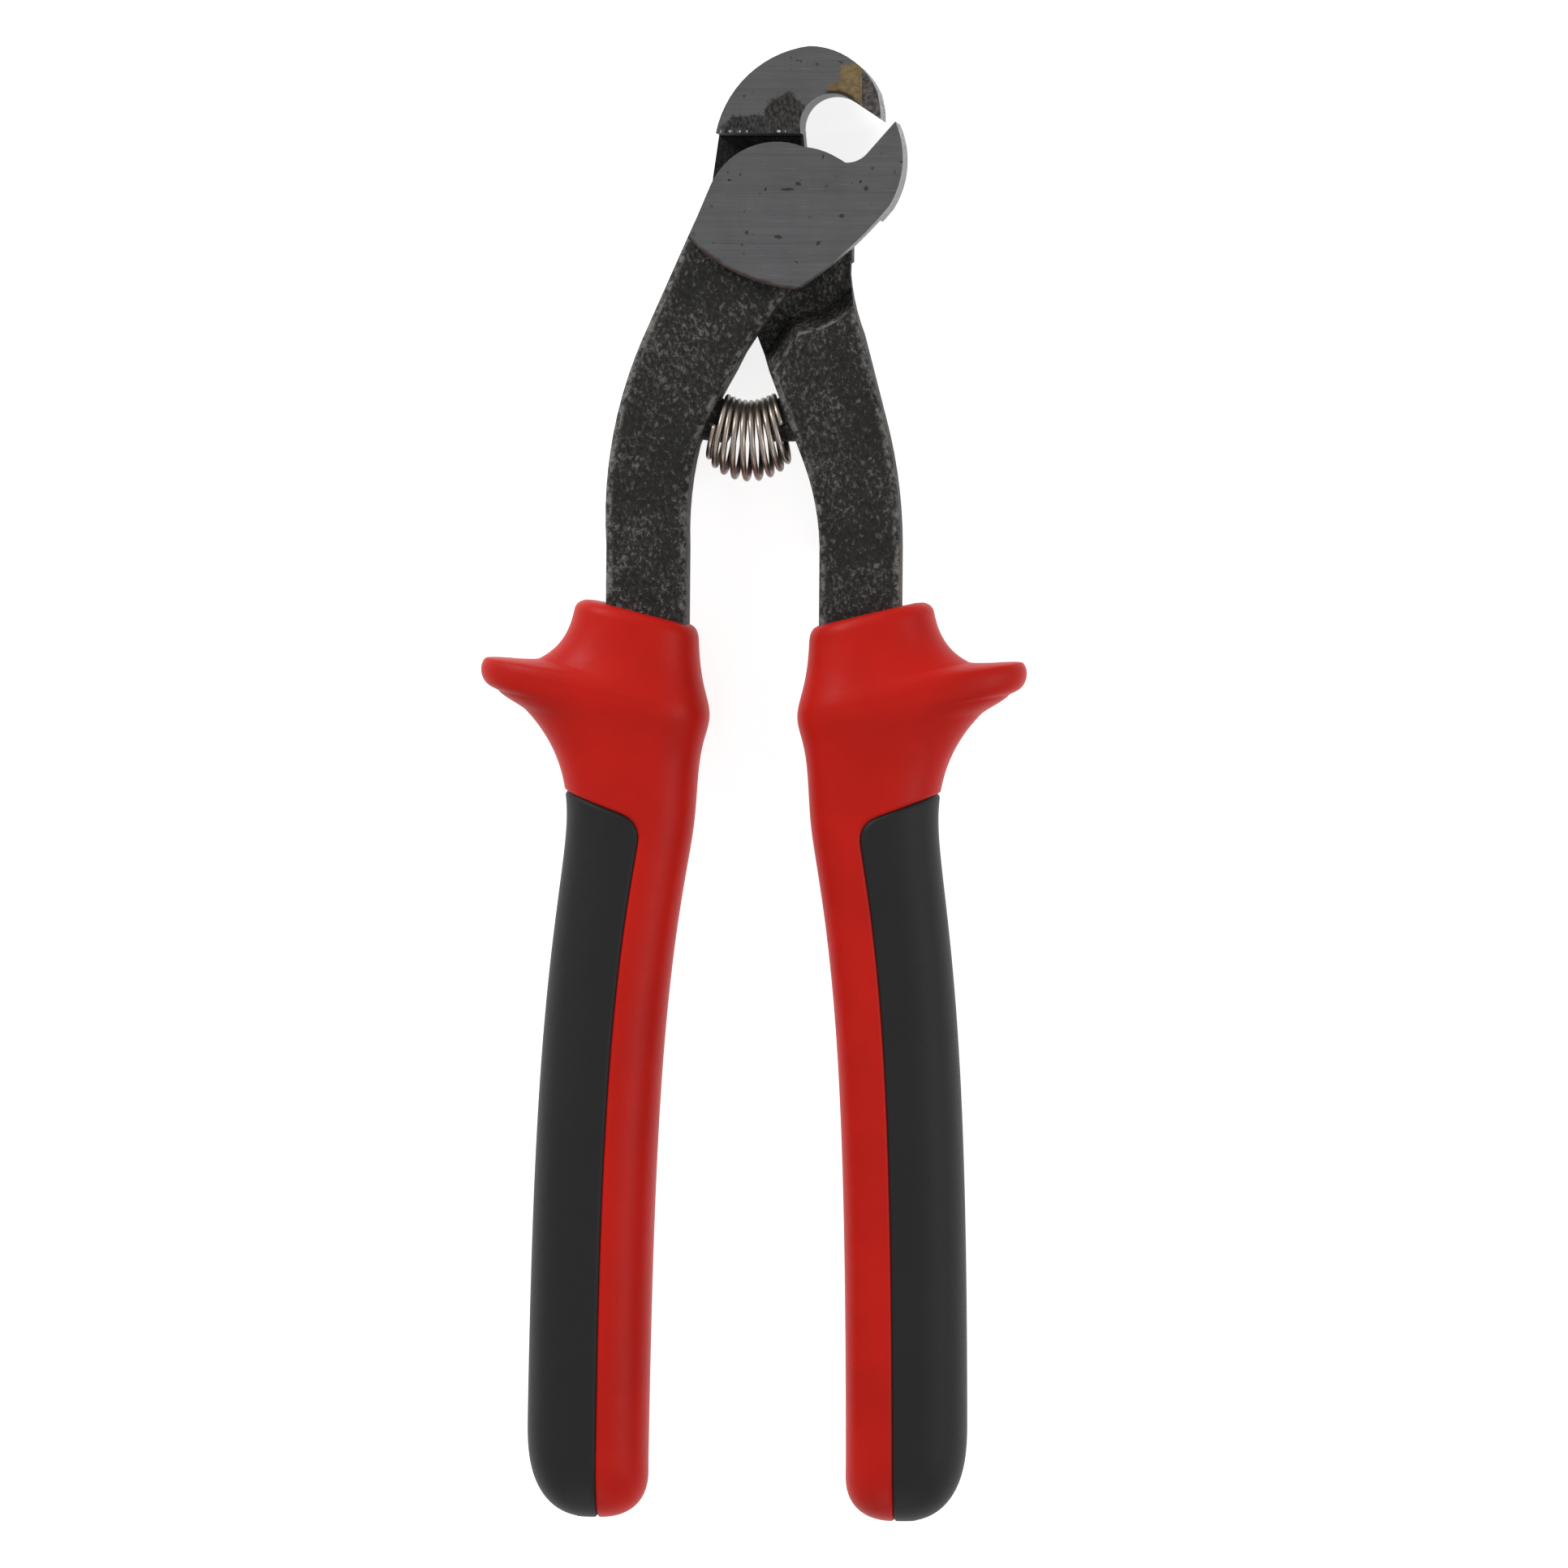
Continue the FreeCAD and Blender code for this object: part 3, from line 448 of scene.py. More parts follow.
def lever_steel(name, jaw):
    """Forged lever: scale on the arm, ground faces on the head, brighter ground sides."""
    made, graph, shader = material(name)
    x, y, z = graph.axes()
    ground = ground_steel(graph)
    skin = tuple(bpy.context.scene.nippers.forge_scale)
    scale = use(graph, shared("forge_scale", forge_scale_group), Colour=skin)
    level = from_middle(graph, z)
    face = graph.band(level, 6.88, 6.96)
    wobble = graph.noise(graph.place(), 0.9, 3.0)
    if jaw == "upper":
        head = graph.band(y, 11.0, 11.2)
        mouth = graph.times(
            graph.band(x, 2.9, 3.1), graph.band(y, 4.0, 6.0), graph.band(x, 9.0, 8.0)
        )
        walls = graph.math("MAXIMUM", head, mouth)
    else:
        pad_edge = graph.distance(x, y, PAD_CENTRE)
        walls = graph.band(pad_edge, 23.75, 23.4)
    walls = graph.times(walls, graph.math("SUBTRACT", 1.0, face))
    streak = graph.noise(graph.place((2.6, 2.6, 0.3)), 1.0, 4.0, 0.65)
    wall_colour = graph.blend(
        graph.band(streak, 0.35, 0.7), (0.12, 0.119, 0.116), (0.21, 0.208, 0.204)
    )
    rust = graph.times(graph.band(level, 6.2, 6.75), graph.band(wobble, 0.42, 0.6))
    wall_colour = graph.blend(graph.times(rust, 0.85), wall_colour, (0.045, 0.022, 0.016))
    colour = graph.blend(walls, scale["Colour"], wall_colour)
    # Lighter strips along the arms' rounded edges: partly wear, partly painted highlight where the
    # edges catch the light.
    worn_edge_and_highlight = graph.times(graph.band(level, 3.6, 4.3), graph.band(level, 4.99, 4.75))
    wear_and_highlight_patches = graph.band(graph.noise(graph.place(), 0.7, 4.0, 0.7), 0.42, 0.62)
    worn_edge_and_highlight = graph.times(worn_edge_and_highlight, wear_and_highlight_patches)
    colour = graph.blend(graph.times(worn_edge_and_highlight, 0.8), colour, (0.24, 0.23, 0.215))
    rubbed = graph.band(graph.noise(graph.place(), 2.2, 3.0), 0.5, 0.66)
    side = graph.times(graph.band(level, 3.6, 3.2), rubbed, graph.band(y, -9.0, -12.0))
    colour = graph.blend(graph.times(side, 0.5), colour, (0.15, 0.145, 0.135))
    rough = graph.lerp(walls, scale["Roughness"], 0.5)
    front = on_front(graph, z)
    plate = ground["Colour"]
    if jaw == "upper":
        plate = smudged(graph, x, y, plate, front)
        plate = brassy(graph, x, y, wobble, plate, front)
        plate = worn_edges(graph, x, y, wobble, plate, front)
        # Painted shade: the rear cheek is darkened just below the upper face's lower edge, where the
        # shoulder shades its recess.
        painted_recess_shade = graph.times(
            graph.band(y, 2.0, 9.5), graph.band(y, 11.4, 11.2), graph.band(z, 7.6, 7.2)
        )
        painted_recess_shade = graph.times(painted_recess_shade, graph.band(z, 6.5, 6.85), 0.75)
        colour = graph.blend(painted_recess_shade, colour, (0.006, 0.0055, 0.0055))
    else:
        seam = graph.band(graph.plus(pad_edge, graph.wander(wobble, 0.7)), 23.35, 23.9)
        plate = graph.blend(graph.times(seam, 0.85), plate, (0.035, 0.016, 0.012))
        plate = pitted(graph, x, y, plate, front)
    colour = graph.blend(face, colour, plate)
    rough = graph.lerp(face, rough, ground["Roughness"])
    height = graph.lerp(walls, scale["Height"], graph.times(streak, 0.06))
    height = graph.lerp(face, height, ground["Height"])
    graph.feed(shader["Base Color"], colour)
    graph.feed(shader["Roughness"], rough)
    graph.feed(shader["Metallic"], graph.lerp(face, graph.lerp(walls, 0.12, 0.6), 0.85))
    bare = graph.math("MAXIMUM", face, walls)
    graph.feed(shader["Specular IOR Level"], graph.lerp(bare, 0.18, 0.5))
    graph.feed(shader["Normal"], bump(graph, height, 0.6))
    return made


def plain_ground_steel():
    """The rivet's heads, ground with the jaws' faces and pitted as they are."""
    made, graph, shader = material("ground_rivet")
    x, y, z = graph.axes()
    ground = ground_steel(graph)
    colour = pitted(graph, x, y, ground["Colour"], on_front(graph, z))
    graph.feed(shader["Base Color"], colour)
    graph.feed(shader["Roughness"], ground["Roughness"])
    graph.feed(shader["Metallic"], 0.9)
    graph.feed(shader["Normal"], bump(graph, ground["Height"], 0.6))
    return made


def carbide(name, ground_face):
    """Sintered carbide: dark, coarse and speckled, paler on its ground sides. The lower tip's
    face is ground flush with the jaw and looks like it."""
    settings = bpy.context.scene.nippers
    made, graph, shader = material(name)
    z = graph.axes()[2]
    where = graph.place()
    grain = graph.noise(where, 1.9, 5.0, 0.75)
    face = graph.band(from_middle(graph, z), 6.85, 6.97)
    if ground_face:
        ground = ground_steel(graph)
        chip = graph.times(graph.band(grain, 0.6, 0.7), 0.6)
        front = graph.blend(chip, ground["Colour"], (0.035, 0.03, 0.027))
    else:
        speckle = graph.band(grain, 0.4, 0.66)
        front = graph.blend(speckle, (0.014, 0.012, 0.011), tuple(settings.carbide))
        rust = graph.times(graph.band(graph.noise(where, 1.2, 3.0), 0.54, 0.64), 0.6)
        front = graph.blend(rust, front, (0.075, 0.028, 0.018))
    streak = graph.noise(graph.place((1, 1, 0.15)), 1.5, 3.0)
    pale = graph.blend(graph.band(streak, 0.35, 0.7), (0.1, 0.1, 0.1), (0.34, 0.34, 0.335))
    graph.feed(shader["Base Color"], graph.blend(face, pale, front))
    graph.feed(shader["Roughness"], graph.band(grain, 0.3, 0.7, 0.62, 0.42))
    graph.feed(shader["Metallic"], graph.lerp(face, 0.6, 0.8 if ground_face else 0.35))
    graph.feed(shader["Normal"], bump(graph, grain, 0.02 if ground_face else 0.16))
    return made


def braze_metal(name, ground_face):
    """The braze's edge: brassy, or wiped over with steel where the face is ground."""
    settings = bpy.context.scene.nippers
    made, graph, shader = material(name)
    z = graph.axes()[2]
    cloud = graph.noise(graph.place(), 1.3, 4.0, 0.6)
    dull = tuple(part * 0.6 for part in settings.braze)
    tone = graph.blend(graph.band(cloud, 0.35, 0.7), dull, tuple(settings.braze))
    if ground_face:
        face = graph.band(from_middle(graph, z), 6.85, 6.97)
        ground = ground_steel(graph)
        wiped = graph.blend(0.12, ground["Colour"], tone)
        tone = graph.blend(face, tone, wiped)
    graph.feed(shader["Base Color"], tone)
    graph.feed(shader["Roughness"], graph.band(cloud, 0.3, 0.7, 0.55, 0.42))
    graph.feed(shader["Metallic"], 0.7)
    graph.feed(shader["Normal"], bump(graph, cloud, 0.04))
    return made


def spring_steel():
    """Drawn wire: lines along its length, warmer and redder where the coils hang lowest."""
    wire = tuple(bpy.context.scene.nippers.wire)
    dull = tuple(part * 0.55 for part in wire)
    made, graph, shader = material("spring_wire")
    y = graph.axes()[1]
    drawn = graph.noise(graph.place((3.0, 0.25, 0.5)), 1.0, 3.0, 0.6)
    uneven = graph.times(graph.noise(graph.place(), 0.4, 2.0), 2.0)
    heat = graph.band(graph.plus(y, uneven), -31.5, -35.0)
    tone = graph.blend(graph.band(drawn, 0.3, 0.7), dull, wire)
    tone = graph.blend(graph.times(heat, 0.75), tone, (0.12, 0.04, 0.028))
    graph.feed(shader["Base Color"], tone)
    graph.feed(shader["Roughness"], graph.band(drawn, 0.3, 0.7, 0.4, 0.26))
    graph.feed(shader["Metallic"], 0.95)
    graph.feed(shader["Normal"], bump(graph, drawn, 0.02))
    return made


def moulded(name, colour, rough, grain, grain_size, gloss):
    """Moulded plastic or rubber: a faint cloud of tone, a fine grain and a mould line."""
    made, graph, shader = material(name)
    z = graph.axes()[2]
    cloud = graph.noise(graph.place(), 0.09, 3.0, 0.5)
    skin = graph.noise(graph.place(), grain_size, 3.0, 0.6)
    slow = graph.noise(graph.place(), 0.35, 2.0, 0.5)
    line = graph.band(from_middle(graph, z), 0.16, 0.04)
    dull = tuple(part * 0.88 for part in colour)
    tone = graph.blend(graph.band(cloud, 0.3, 0.7), dull, colour)
    scuff = graph.noise(graph.place((0.5, 2.5, 1.0), turn=0.5), 1.0, 4.0, 0.7)
    scuff = graph.band(scuff, 0.66, 0.76)
    roughness = graph.plus(graph.times(skin, 0.1), graph.times(scuff, 0.08), rough - 0.05)
    height = graph.plus(graph.times(skin, grain), graph.times(slow, 0.08), graph.times(line, 0.07))
    graph.feed(shader["Base Color"], tone)
    graph.feed(shader["Roughness"], roughness)
    graph.feed(shader["Specular IOR Level"], gloss)
    graph.feed(shader["Normal"], bump(graph, height, 1.0))
    return made


# ---------------------------------------------------------------- rivet


RIVET_HALF = (  # radius and height from the back face to the shank, the heads' fine edge included
    (2.0, 0.0),
    (5.22, 0.0),
    (5.245, 0.02),
    (4.0, 1.2),
)
HOLE_REACH = 5.6  # edges of the levers this near the pivot belong to the rivet's hole


def rivet_surface(sides=96):
    """The rivet's outline turned about Z: a shank between two countersunk heads that fill their
    seats flush with the cheeks. The upper half mirrors the lower one."""
    radius, height = np.array(RIVET_HALF).T
    radius = np.concatenate([radius, radius[::-1]])
    height = np.concatenate([height, 2 * MIDDLE - height[::-1]])
    turn = np.linspace(0, 2 * math.pi, sides, endpoint=False)
    x = radius[:, None] * np.cos(turn)
    y = radius[:, None] * np.sin(turn)
    return np.stack([x, y, np.broadcast_to(height[:, None], x.shape)], -1)


# ---------------------------------------------------------------- grips

AXIS_X = -3.1  # the handles' middle line where it passes the rivet
AXIS_TILT = math.radians(0.494)
RIDGE_V = 67.85  # from the rivet down to the guard's ridge
RIM_RISE = 12.45  # from the ridge up to the grip's top rim
RIM_ROUND = 1.8
GRIP_END = 182.35
END_ROUND = 10.0
OUTER_ROUND = 14.0  # the soft side turns in slowly at the end, the hard side sharply
INNER_ROUND = 7.0
GRIP_OUT = 16.1  # the grip's middle at its top, then how far and how slowly it bows out
BOW_START = 84.0
BOW_OUT = 6.5
BOW_LENGTH = 27.0
HALF_WIDTH = 8.5
HALF_THICKNESS = 7.42
GUARD_SWELL = 1.85  # added to the thickness at the guard
BELLY_AT = 140  # the thickness swells once more about here, over this length
BELLY_LENGTH = 34
SECTION_POWER = 0.8  # 1 would be an ellipse, less is fuller at its corners
GUARD_LEAN = 11.0  # degrees by which a section leans outwards at the ridge, and its gain per mm
LEAN_GAIN = 0.22
GUARD_REACH = 13.95
NOSE = 2.25  # round of the guard's lip
FILLET_OVER = (12.3, 3.8)  # height and length of the fillets on both sides of the lip
FILLET_UNDER = (15.4, 5.8)
SOFT_TOP = 84.8
SOFT_SHARE = 1.7  # the joint between the mouldings lies this far inside the grip's middle
SOFT_SLANT = math.radians(20)
SOFT_CORNER = 3.0
JOINT_DEPTH = 0.9  # how far each moulding dips under the other


def handle_to_row(points, side):
    """Handle points (out, up, forward) to row points. The left handle is the right one turned
    over about the tool's middle line."""
    out = points[..., 0] * side
    up = points[..., 1]
    turn = -AXIS_TILT
    x = AXIS_X + out * math.cos(turn) - up * math.sin(turn)
    y = out * math.sin(turn) + up * math.cos(turn)
    return np.stack([x, y, MIDDLE + points[..., 2]], -1)


def grip_middle(below):
    """How far out the grip's middle lies: straight, then a bow that levels out."""
    return GRIP_OUT + BOW_OUT * (1 - np.exp(-ramp_up(below - BOW_START, 5) / BOW_LENGTH))


def lip(rise):
    """How far the guard stands out at a height above its ridge: a rounded nose, with a fillet
    that dies away exponentially on each side of it."""
    away = np.abs(rise)
    over = rise > 0
    above, under = (
        height * np.exp(-away / length) for height, length in (FILLET_OVER, FILLET_UNDER)
    )
    fillet = np.where(over, above, under)
    start = np.where(over, 0.65, 0.7) * NOSE
    stop = np.where(over, 1.3, 1.9) * NOSE
    nose = GUARD_REACH - NOSE + np.sqrt(NOSE**2 - np.minimum(away, NOSE) ** 2)
    share = np.clip((away - start) / (stop - start), 0, 1)
    return nose + (fillet - nose) * share**2 * (3 - 2 * share)


def closing(below, size):
    """How much of the section is left where a round of the given size closes the grip's end."""
    past = np.clip((below - (GRIP_END - size)) / size, 0, 0.985)
    return (1 - past**2.5) ** 0.4


def grip_surface(rise, angle):
    """Grip surface over height above the guard's ridge and the angle round the section. Each
    section is two half superellipses, the outer one reaching out to the guard's lip; its plane
    leans outwards, and the sections close to a round end."""
    below = RIDGE_V - rise
    to_rim = np.clip((RIM_RISE - rise) / RIM_ROUND, 0, 1)
    edge = RIM_ROUND * (1 - np.sqrt(np.clip(1 - (1 - to_rim) ** 2, 0, 1))) * 0.6
    close_outer, close_inner, close = (
        closing(below, size) for size in (OUTER_ROUND, INNER_ROUND, END_ROUND)
    )
    guard = lip(rise)
    outer = HALF_WIDTH + guard - edge * 2.2
    inner = HALF_WIDTH + 1.7 * hump(rise, 3.2) - edge
    above = 1 / (1 + (np.maximum(rise - 0.5, 0) / 4.6) ** 1.6)
    under = 1 / (1 + (np.maximum(-rise - 0.6, 0) / 5.2) ** 1.8)
    belly = np.exp(-(((below - BELLY_AT) / BELLY_LENGTH) ** 2))
    thick = HALF_THICKNESS + GUARD_SWELL * np.where(rise > 0, above, under) - edge + belly
    tilt = np.radians(ramp_up(GUARD_LEAN + LEAN_GAIN * rise, 2))
    cos, sin = np.cos(angle), np.sin(angle)
    half = np.where(cos > 0, outer * close_outer, inner * close_inner)
    along = half * np.copysign(np.abs(cos) ** SECTION_POWER, cos)
    across = close * thick * np.copysign(np.abs(sin) ** SECTION_POWER, sin)
    middle = grip_middle(below) - 1.2 * (1 - close)
    return np.stack([middle + along * np.cos(tilt), along * np.sin(tilt) - below, across], -1)


def soft_distance(out, up):
    """Distance into the soft side, in the plane of the tool: the smaller of the distances past
    its long edge and below its slanted top, rounded where the two meet."""
    past_edge = out - (grip_middle(-up) - SOFT_SHARE)
    slope = math.tan(SOFT_SLANT)
    below_top = (-SOFT_TOP + (out - 14.4) * slope - up) * math.cos(SOFT_SLANT)
    share = np.clip(SOFT_CORNER - np.abs(past_edge - below_top), 0, None) / SOFT_CORNER
    return np.minimum(past_edge, below_top) - share * share * SOFT_CORNER / 4


def grip_grid(rows_upper=90, rows_lower=300, columns=176):
    """Even angles round the section, and rows that crowd towards the guard's ridge."""
    upper = RIM_RISE * (1 - np.linspace(0, 1, rows_upper)) ** 1.35
    full = GRIP_END - END_ROUND - RIDGE_V
    lower = -full * np.linspace(0, 1, rows_lower)[1:] ** 1.6
    end = -full - (END_ROUND - 0.15) * np.sin(np.linspace(0, math.pi / 2, 44)[1:])
    rise = np.concatenate([upper, lower, end])
    angle = np.linspace(0, 2 * math.pi, columns, endpoint=False)
    return np.meshgrid(rise, angle, indexing="ij")


def normals(grid):
    """Unit normals of a grid that closes along its columns."""
    down = np.gradient(grid, axis=0)
    wrapped = np.concatenate([grid[:, -1:], grid, grid[:, :1]], 1)
    round_ = (wrapped[:, 2:] - wrapped[:, :-2]) / 2
    cross = np.cross(down, round_)
    return cross / np.maximum(np.linalg.norm(cross, axis=-1, keepdims=True), 1e-9)


def grip_piece(name, side, body, soft, made_of):
    """One of the grip's two mouldings. Both follow the grip's surface; each dips under the
    other at their joint, which leaves a fine groove between two rounded edges."""
    rise, angle = grip_grid()
    grid = grip_surface(rise, angle)
    depth = soft_distance(grid[..., 0], grid[..., 1])
    if soft:
        sink = JOINT_DEPTH * (1 - soft_step(-0.35, 0.4, depth))
        rows = depth.max(axis=1) > -3
    else:
        sink = JOINT_DEPTH * soft_step(-0.3, 0.45, depth)
        rows = np.ones(len(grid), bool)
    out = normals(grid)
    if out[200, 0, 0] < 0:  # on the grip's outer side, where outwards is +X
        out = -out
    grid = grid - out * sink[..., None]
    grid = grid[rows]
    if not soft:
        first = grid[:1]
        middle = first.mean(1, keepdims=True)
        grid = np.concatenate([middle + (first - middle) * 0.55, grid])
    points, faces = closed_tube(handle_to_row(grid, side))
    return outward(mesh_piece(name, points, faces, body, made_of))


# ---------------------------------------------------------------- spring


SPRING_MIDDLE = (-4.2, -29.2)
SPRING_HALF = 4.65  # from its middle to the end coils' middles
SPRING_SAG = 2.2
COIL_END = 4.1  # radius of the end coils, and what the middle ones have more
COIL_SWELL = 1.2
COIL_LEAN = math.radians(16)


def spring_grid(radius, turns=9.0, around=14, per_turn=44):
    """A round wire carried along a helix whose radius swells away from its ends, whose middle
    line hangs in a half sine, and whose coils lean outwards at both ends."""
    share = np.linspace(0, 1, int(turns * per_turn) + 1)
    side = 2 * share - 1
    lean = -COIL_LEAN * side * (1.3 - 0.3 * side**2)
    swell = np.sin(math.pi * np.clip(share, 1e-9, 1 - 1e-9)) ** 0.6
    coil = COIL_END + COIL_SWELL * swell
    angle = -2 * math.pi * turns * share
    x = SPRING_MIDDLE[0] + SPRING_HALF * side * (1.25 - 0.25 * side**2)
    y = SPRING_MIDDLE[1] - SPRING_SAG * np.sin(math.pi * share)
    middle = np.stack([x, y, np.full_like(share, MIDDLE)], -1)
    across = np.stack([np.sin(lean), np.cos(lean), np.zeros_like(lean)], -1)
    forward = np.array([0, 0, 1.0])
    path = middle + across * (coil * np.sin(angle))[:, None]
    path += forward * (coil * np.cos(angle))[:, None]
    along = np.gradient(path, axis=0)
    along /= np.linalg.norm(along, axis=1, keepdims=True)
    out = path - middle
    out -= along * (out * along).sum(1, keepdims=True)
    out /= np.linalg.norm(out, axis=1, keepdims=True)
    other = np.cross(along, out)
    turn = np.linspace(0, 2 * math.pi, around, endpoint=False)
    ring = np.cos(turn)[None, :, None] * out[:, None]
    ring = ring + np.sin(turn)[None, :, None] * other[:, None]
    return path[:, None] + ring * radius


# ---------------------------------------------------------------- levers


def mark_hard_edges(mesh):
    """Weights the edges to round over: those that turn by more than 32 degrees, apart from the
    rivet's hole, which stays sharp so that the rivet sits flush."""
    shape = bmesh.new()
    shape.from_mesh(mesh)
    weight = shape.edges.layers.float.new("bevel_weight_edge")
    for edge in shape.edges:
        hard = len(edge.link_faces) == 2 and edge.calc_face_angle(0) > math.radians(32)
        in_hole = all(vertex.co.xy.length < HOLE_REACH * MM for vertex in edge.verts)
        edge[weight] = 1.0 if hard and not in_hole else 0.0
        edge.smooth = not (hard and in_hole)
    shape.to_mesh(mesh)
    shape.free()


def merged_copy(node, name, body, made_of, width):
    """A copy of a CAD node with its triangles joined and its hard edges rounded over."""
    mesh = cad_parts[node].data.copy()
    mesh.name = name
    shape = bmesh.new()
    shape.from_mesh(mesh)
    bmesh.ops.remove_doubles(shape, verts=shape.verts, dist=2e-6)
    flat = math.radians(0.5)
    bmesh.ops.dissolve_limit(shape, angle_limit=flat, verts=shape.verts, edges=shape.edges)
    shape.to_mesh(mesh)
    shape.free()
    mesh.materials.clear()
    mesh.materials.append(made_of)
    mesh.polygons.foreach_set("use_smooth", np.full(len(mesh.polygons), True))
    mark_hard_edges(mesh)
    made = bpy.data.objects.new(name, mesh)
    bpy.context.scene.collection.objects.link(made)
    rounded = made.modifiers.new("rounded_edges", "BEVEL")
    rounded.width = width * MM
    rounded.segments = 3
    rounded.limit_method = "WEIGHT"
    rounded.use_clamp_overlap = True
    even = made.modifiers.new("even_normals", "WEIGHTED_NORMAL")
    even.keep_sharp = True
    even.weight = 90
    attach(made, body)
    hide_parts(node)
    return made


# ---------------------------------------------------------------- add-on


class NipperSettings(bpy.types.PropertyGroup):
    """Sizes and colours of the finished surfaces."""

    ground_steel: bpy.props.FloatVectorProperty(
        name="Ground steel",
        description="Ground faces of the head",
        subtype="COLOR",
        default=(0.09, 0.09, 0.093),
    )
    forge_scale: bpy.props.FloatVectorProperty(
        name="Forging scale",
        description="Skin of the arms",
        subtype="COLOR",
        default=(0.019, 0.018, 0.017),
    )
    carbide: bpy.props.FloatVectorProperty(
        name="Carbide",
        description="Tips of the jaws",
        subtype="COLOR",
        default=(0.1, 0.096, 0.09),
    )
    braze: bpy.props.FloatVectorProperty(
        name="Braze",
        description="Metal that holds the tips",
        subtype="COLOR",
        default=(0.19, 0.14, 0.07),
    )
    wire: bpy.props.FloatVectorProperty(
        name="Wire",
        description="Spring wire",
        subtype="COLOR",
        default=(0.33, 0.28, 0.24),
    )
    red: bpy.props.FloatVectorProperty(
        name="Grip red",
        description="Hard part of the grips",
        subtype="COLOR",
        default=(0.6, 0.014, 0.008),
    )
    black: bpy.props.FloatVectorProperty(
        name="Grip black",
        description="Soft part of the grips",
        subtype="COLOR",
        default=(0.01, 0.01, 0.0105),
    )
    edge_width: bpy.props.FloatProperty(
        name="Edge width",
        description="Rounding of the levers' hard edges, in millimetres",
        default=0.16,
        min=0.02,
    )
    wire_radius: bpy.props.FloatProperty(
        name="Wire radius",
        description="Radius of the spring wire, in millimetres",
        default=0.41,
        min=0.1,
    )
    floor: bpy.props.FloatVectorProperty(
        name="Floor",
        description="Colour of the floor",
        subtype="COLOR",
        default=(0.9, 0.9, 0.9),
    )


class NIPPERS_OT_levers(bpy.types.Operator):
    """Dress both forged levers"""

    bl_idname = "nippers.levers"
    bl_label = "Levers"

    def execute(self, context):
        width = context.scene.nippers.edge_width
        rear = lever_steel("rear_lever_steel", "upper")
        front = lever_steel("front_lever_steel", "lower")
        merged_copy("rear_lever", "rear_lever_forging", "rear", rear, width)
        merged_copy("front_lever", "front_lever_forging", "front", front, width)
        return {"FINISHED"}


class NIPPERS_OT_tips(bpy.types.Operator):
    """Finish the rivet, the carbide tips and their braze"""

    bl_idname = "nippers.tips"
    bl_label = "Rivet and tips"

    def execute(self, context):
        finishes = {
            "upper_jaw_carbide": carbide("upper_carbide", False),
            "upper_jaw_braze": braze_metal("upper_braze", False),
            "lower_jaw_carbide": carbide("lower_carbide", True),
            "lower_jaw_braze": braze_metal("lower_braze", True),
        }
        points, faces = closed_tube(rivet_surface())
        steel = plain_ground_steel()
        rivet = mesh_piece("rivet_flush", points, faces, "rear", steel, smooth=False)
        outward(rivet)
        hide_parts("pivot_rivet")
        for node, finish in finishes.items():
            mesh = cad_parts[node].data
            mesh.materials.clear()
            mesh.materials.append(finish)
        return {"FINISHED"}


class NIPPERS_OT_spring(bpy.types.Operator):
    """Wind the return spring between the arms"""

    bl_idname = "nippers.spring"
    bl_label = "Return spring"

    def execute(self, context):
        points, faces = closed_tube(spring_grid(context.scene.nippers.wire_radius))
        made = mesh_piece("return_spring_wire", points, faces, None, spring_steel())
        outward(made)
        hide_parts("return_spring")
        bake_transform(made)
        return {"FINISHED"}


class NIPPERS_OT_grips(bpy.types.Operator):
    """Mould both grips"""

    bl_idname = "nippers.grips"
    bl_label = "Grips"

    def execute(self, context):
        settings = context.scene.nippers
        red = moulded("red_plastic", tuple(settings.red), 0.46, 0.012, 2.2, 0.13)
        black = moulded("black_rubber", tuple(settings.black), 0.56, 0.035, 3.0, 0.2)
        for side, hand, body in ((1, "right", "rear"), (-1, "left", "front")):
            core = grip_piece(f"{hand}_grip_red", side, body, False, red)
            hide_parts(f"{hand}_grip_core")
            soft = grip_piece(f"{hand}_grip_black", side, body, True, black)
            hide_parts(f"{hand}_grip_soft")
        return {"FINISHED"}


def looked_at(graph):
    """1 where a surface is seen directly, in a reflection or through glass, else 0."""
    path = graph.add("ShaderNodeLightPath").outputs
    seen = graph.math("MAXIMUM", path["Is Camera Ray"], path["Is Glossy Ray"])
    return graph.math("MAXIMUM", seen, path["Is Transmission Ray"])


FLOOR_HALF = 1.5
FLOOR_GAP = 0.0002
TARGET = (0.0010165, -0.0791751, 0.014)  # what the camera faces, on the head's front face
SEEN_ACROSS = 0.2182066  # width of the view at the target
AWAY = 1.5
SIDEWAYS = math.radians(3.5)
UPWARDS = math.radians(1.5)
LAMPS = (  # name, place, aim, size and power
    ("key", (-0.6, 0.6, 0.5), (0, -0.08, 0), 0.35, 6.2),
    ("fill", (0.75, -0.1, 0.55), (0, -0.08, 0), 0.45, 2.6),
    ("low", (-0.1, -0.95, 0.45), (0, -0.1, 0), 0.4, 1.3),
)


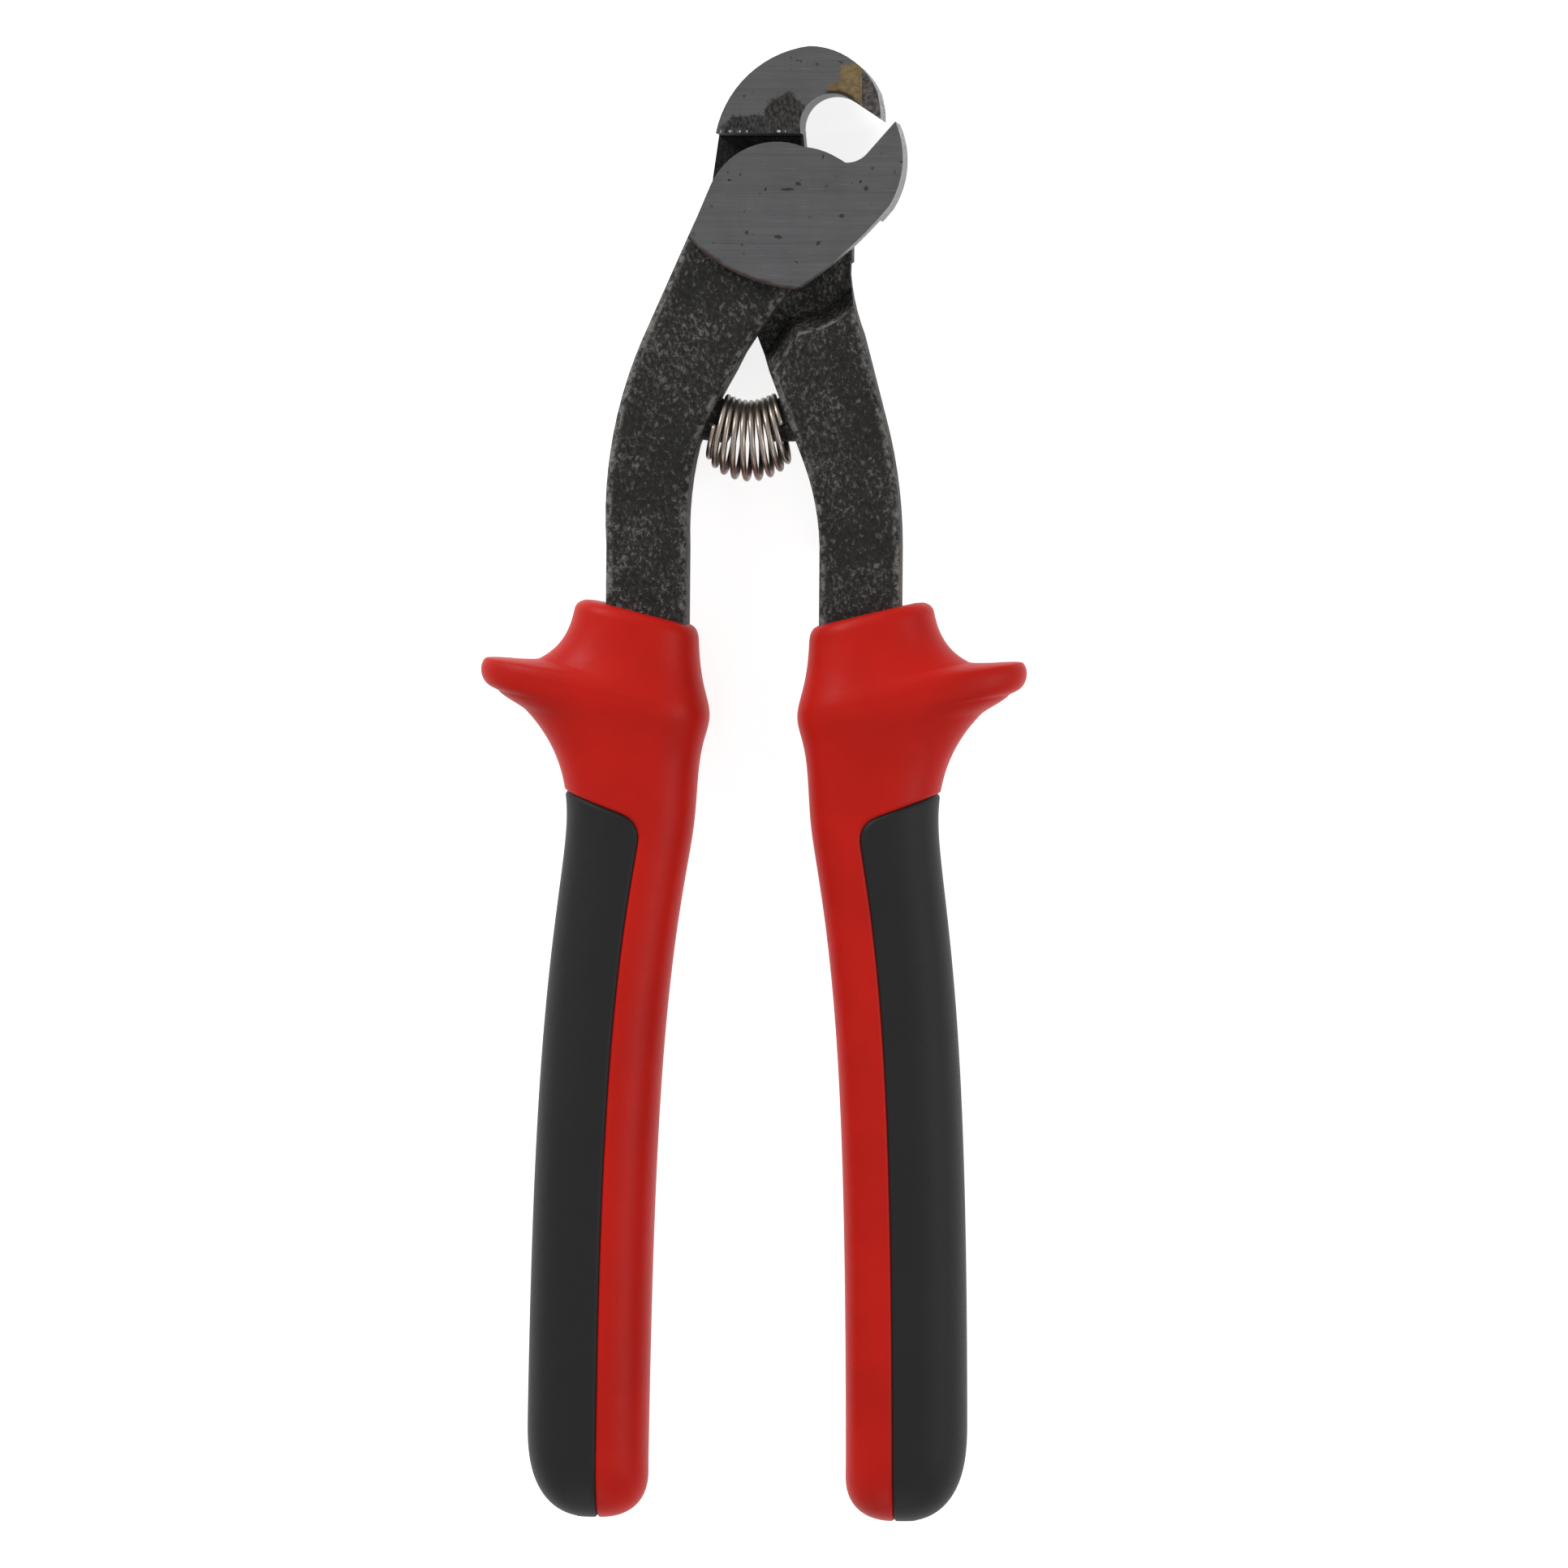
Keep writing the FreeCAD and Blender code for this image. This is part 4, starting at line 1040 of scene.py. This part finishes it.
class NIPPERS_OT_stage(bpy.types.Operator):
    """Set the floor, the lamps and the camera"""

    bl_idname = "nippers.stage"
    bl_label = "Stage"

    def execute(self, context):
        scene = context.scene
        level = CAD_BOX[0].z - FLOOR_GAP
        corners = [(x, y, level) for x, y in ((-1, -1), (1, -1), (1, 1), (-1, 1))]
        corners = [(x * FLOOR_HALF, y * FLOOR_HALF, z) for x, y, z in corners]
        mesh = bpy.data.meshes.new("floor")
        mesh.from_pydata(corners, [], [(0, 1, 2, 3)])
        floor = bpy.data.objects.new("floor", mesh)
        scene.collection.objects.link(floor)
        finish, graph, shader = material("pale_floor")
        cloud = graph.noise(graph.place(), 0.02, 2.0)
        tone = tuple(scene.nippers.floor)
        dull = tuple(part * 0.99 for part in tone)
        graph.feed(shader["Base Color"], graph.blend(cloud, tone, dull))
        graph.feed(shader["Roughness"], 0.9)
        glow = graph.add("ShaderNodeEmission", {"Color": (1, 1, 1)})
        graph.feed(glow.inputs["Strength"], graph.times(looked_at(graph), 0.8))
        both = graph.add("ShaderNodeAddShader")
        nodes = {node.type: node for node in finish.node_tree.nodes}
        principled, sink = nodes["BSDF_PRINCIPLED"], nodes["OUTPUT_MATERIAL"]
        graph.feed(both.inputs[0], principled.outputs[0])
        graph.feed(both.inputs[1], glow.outputs[0])
        graph.feed(sink.inputs["Surface"], both.outputs[0])
        mesh.materials.append(finish)

        world = bpy.data.worlds.new("studio")
        scene.world = world
        world.use_nodes = True
        backdrop = world.node_tree.nodes["Background"]
        backdrop.inputs["Color"].default_value = (1, 1, 1, 1)
        sky = Graph(world.node_tree)
        sky.feed(backdrop.inputs["Strength"], sky.lerp(looked_at(sky), 0.28, 1.0))

        for name, place, aim, size, power in LAMPS:
            lamp = bpy.data.lights.new(name, "AREA")
            lamp.shape = "DISK"
            lamp.size = size
            lamp.energy = power
            made = bpy.data.objects.new(name, lamp)
            scene.collection.objects.link(made)
            aim_at(made, place, aim)

        place = (
            TARGET[0] + AWAY * math.tan(SIDEWAYS),
            TARGET[1] + AWAY * math.tan(UPWARDS),
            TARGET[2] + AWAY,
        )
        lens = bpy.data.cameras.new("camera")
        lens.sensor_width = 36
        lens.lens = lens.sensor_width * math.dist(place, TARGET) / SEEN_ACROSS
        lens.clip_start, lens.clip_end = 0.05, 10
        camera = bpy.data.objects.new("camera", lens)
        scene.collection.objects.link(camera)
        aim_at(camera, place, TARGET)
        scene.camera = camera
        scene.view_settings.view_transform = "Standard"
        return {"FINISHED"}


def aim_at(thing, place, target):
    """Puts a lamp or camera at a place, facing a target, with +Y up in its view."""
    back = np.subtract(place, target)
    back = back / np.linalg.norm(back)
    right = np.cross((0, 1, 0), back)
    right /= np.linalg.norm(right)
    up = np.cross(back, right)
    turned = np.eye(4)
    turned[:3] = np.stack([right, up, back, place], axis=1)
    thing.matrix_world = Matrix(turned.tolist())


class NIPPERS_PT_panel(bpy.types.Panel):
    """Sizes, colours and pieces of the nippers"""

    bl_idname = "NIPPERS_PT_panel"
    bl_label = "Tile nippers"
    bl_space_type = "VIEW_3D"
    bl_region_type = "UI"
    bl_category = "Nippers"

    def draw(self, context):
        column = self.layout.column()
        for name in NipperSettings.__annotations__:
            column.prop(context.scene.nippers, name)
        for operator in OPERATORS:
            column.operator(operator.bl_idname)


OPERATORS = (
    NIPPERS_OT_levers,
    NIPPERS_OT_tips,
    NIPPERS_OT_spring,
    NIPPERS_OT_grips,
    NIPPERS_OT_stage,
)
CLASSES = (NipperSettings, *OPERATORS, NIPPERS_PT_panel)


def register():
    for kind in CLASSES:
        bpy.utils.register_class(kind)
    bpy.types.Scene.nippers = bpy.props.PointerProperty(type=NipperSettings)


def unregister():
    del bpy.types.Scene.nippers
    for kind in reversed(CLASSES):
        bpy.utils.unregister_class(kind)


def main():
    register()
    bpy.ops.nippers.levers()
    bpy.ops.nippers.tips()
    bpy.ops.nippers.spring()
    bpy.ops.nippers.grips()
    bpy.ops.nippers.stage()


if __name__ == "__main__":
    main()
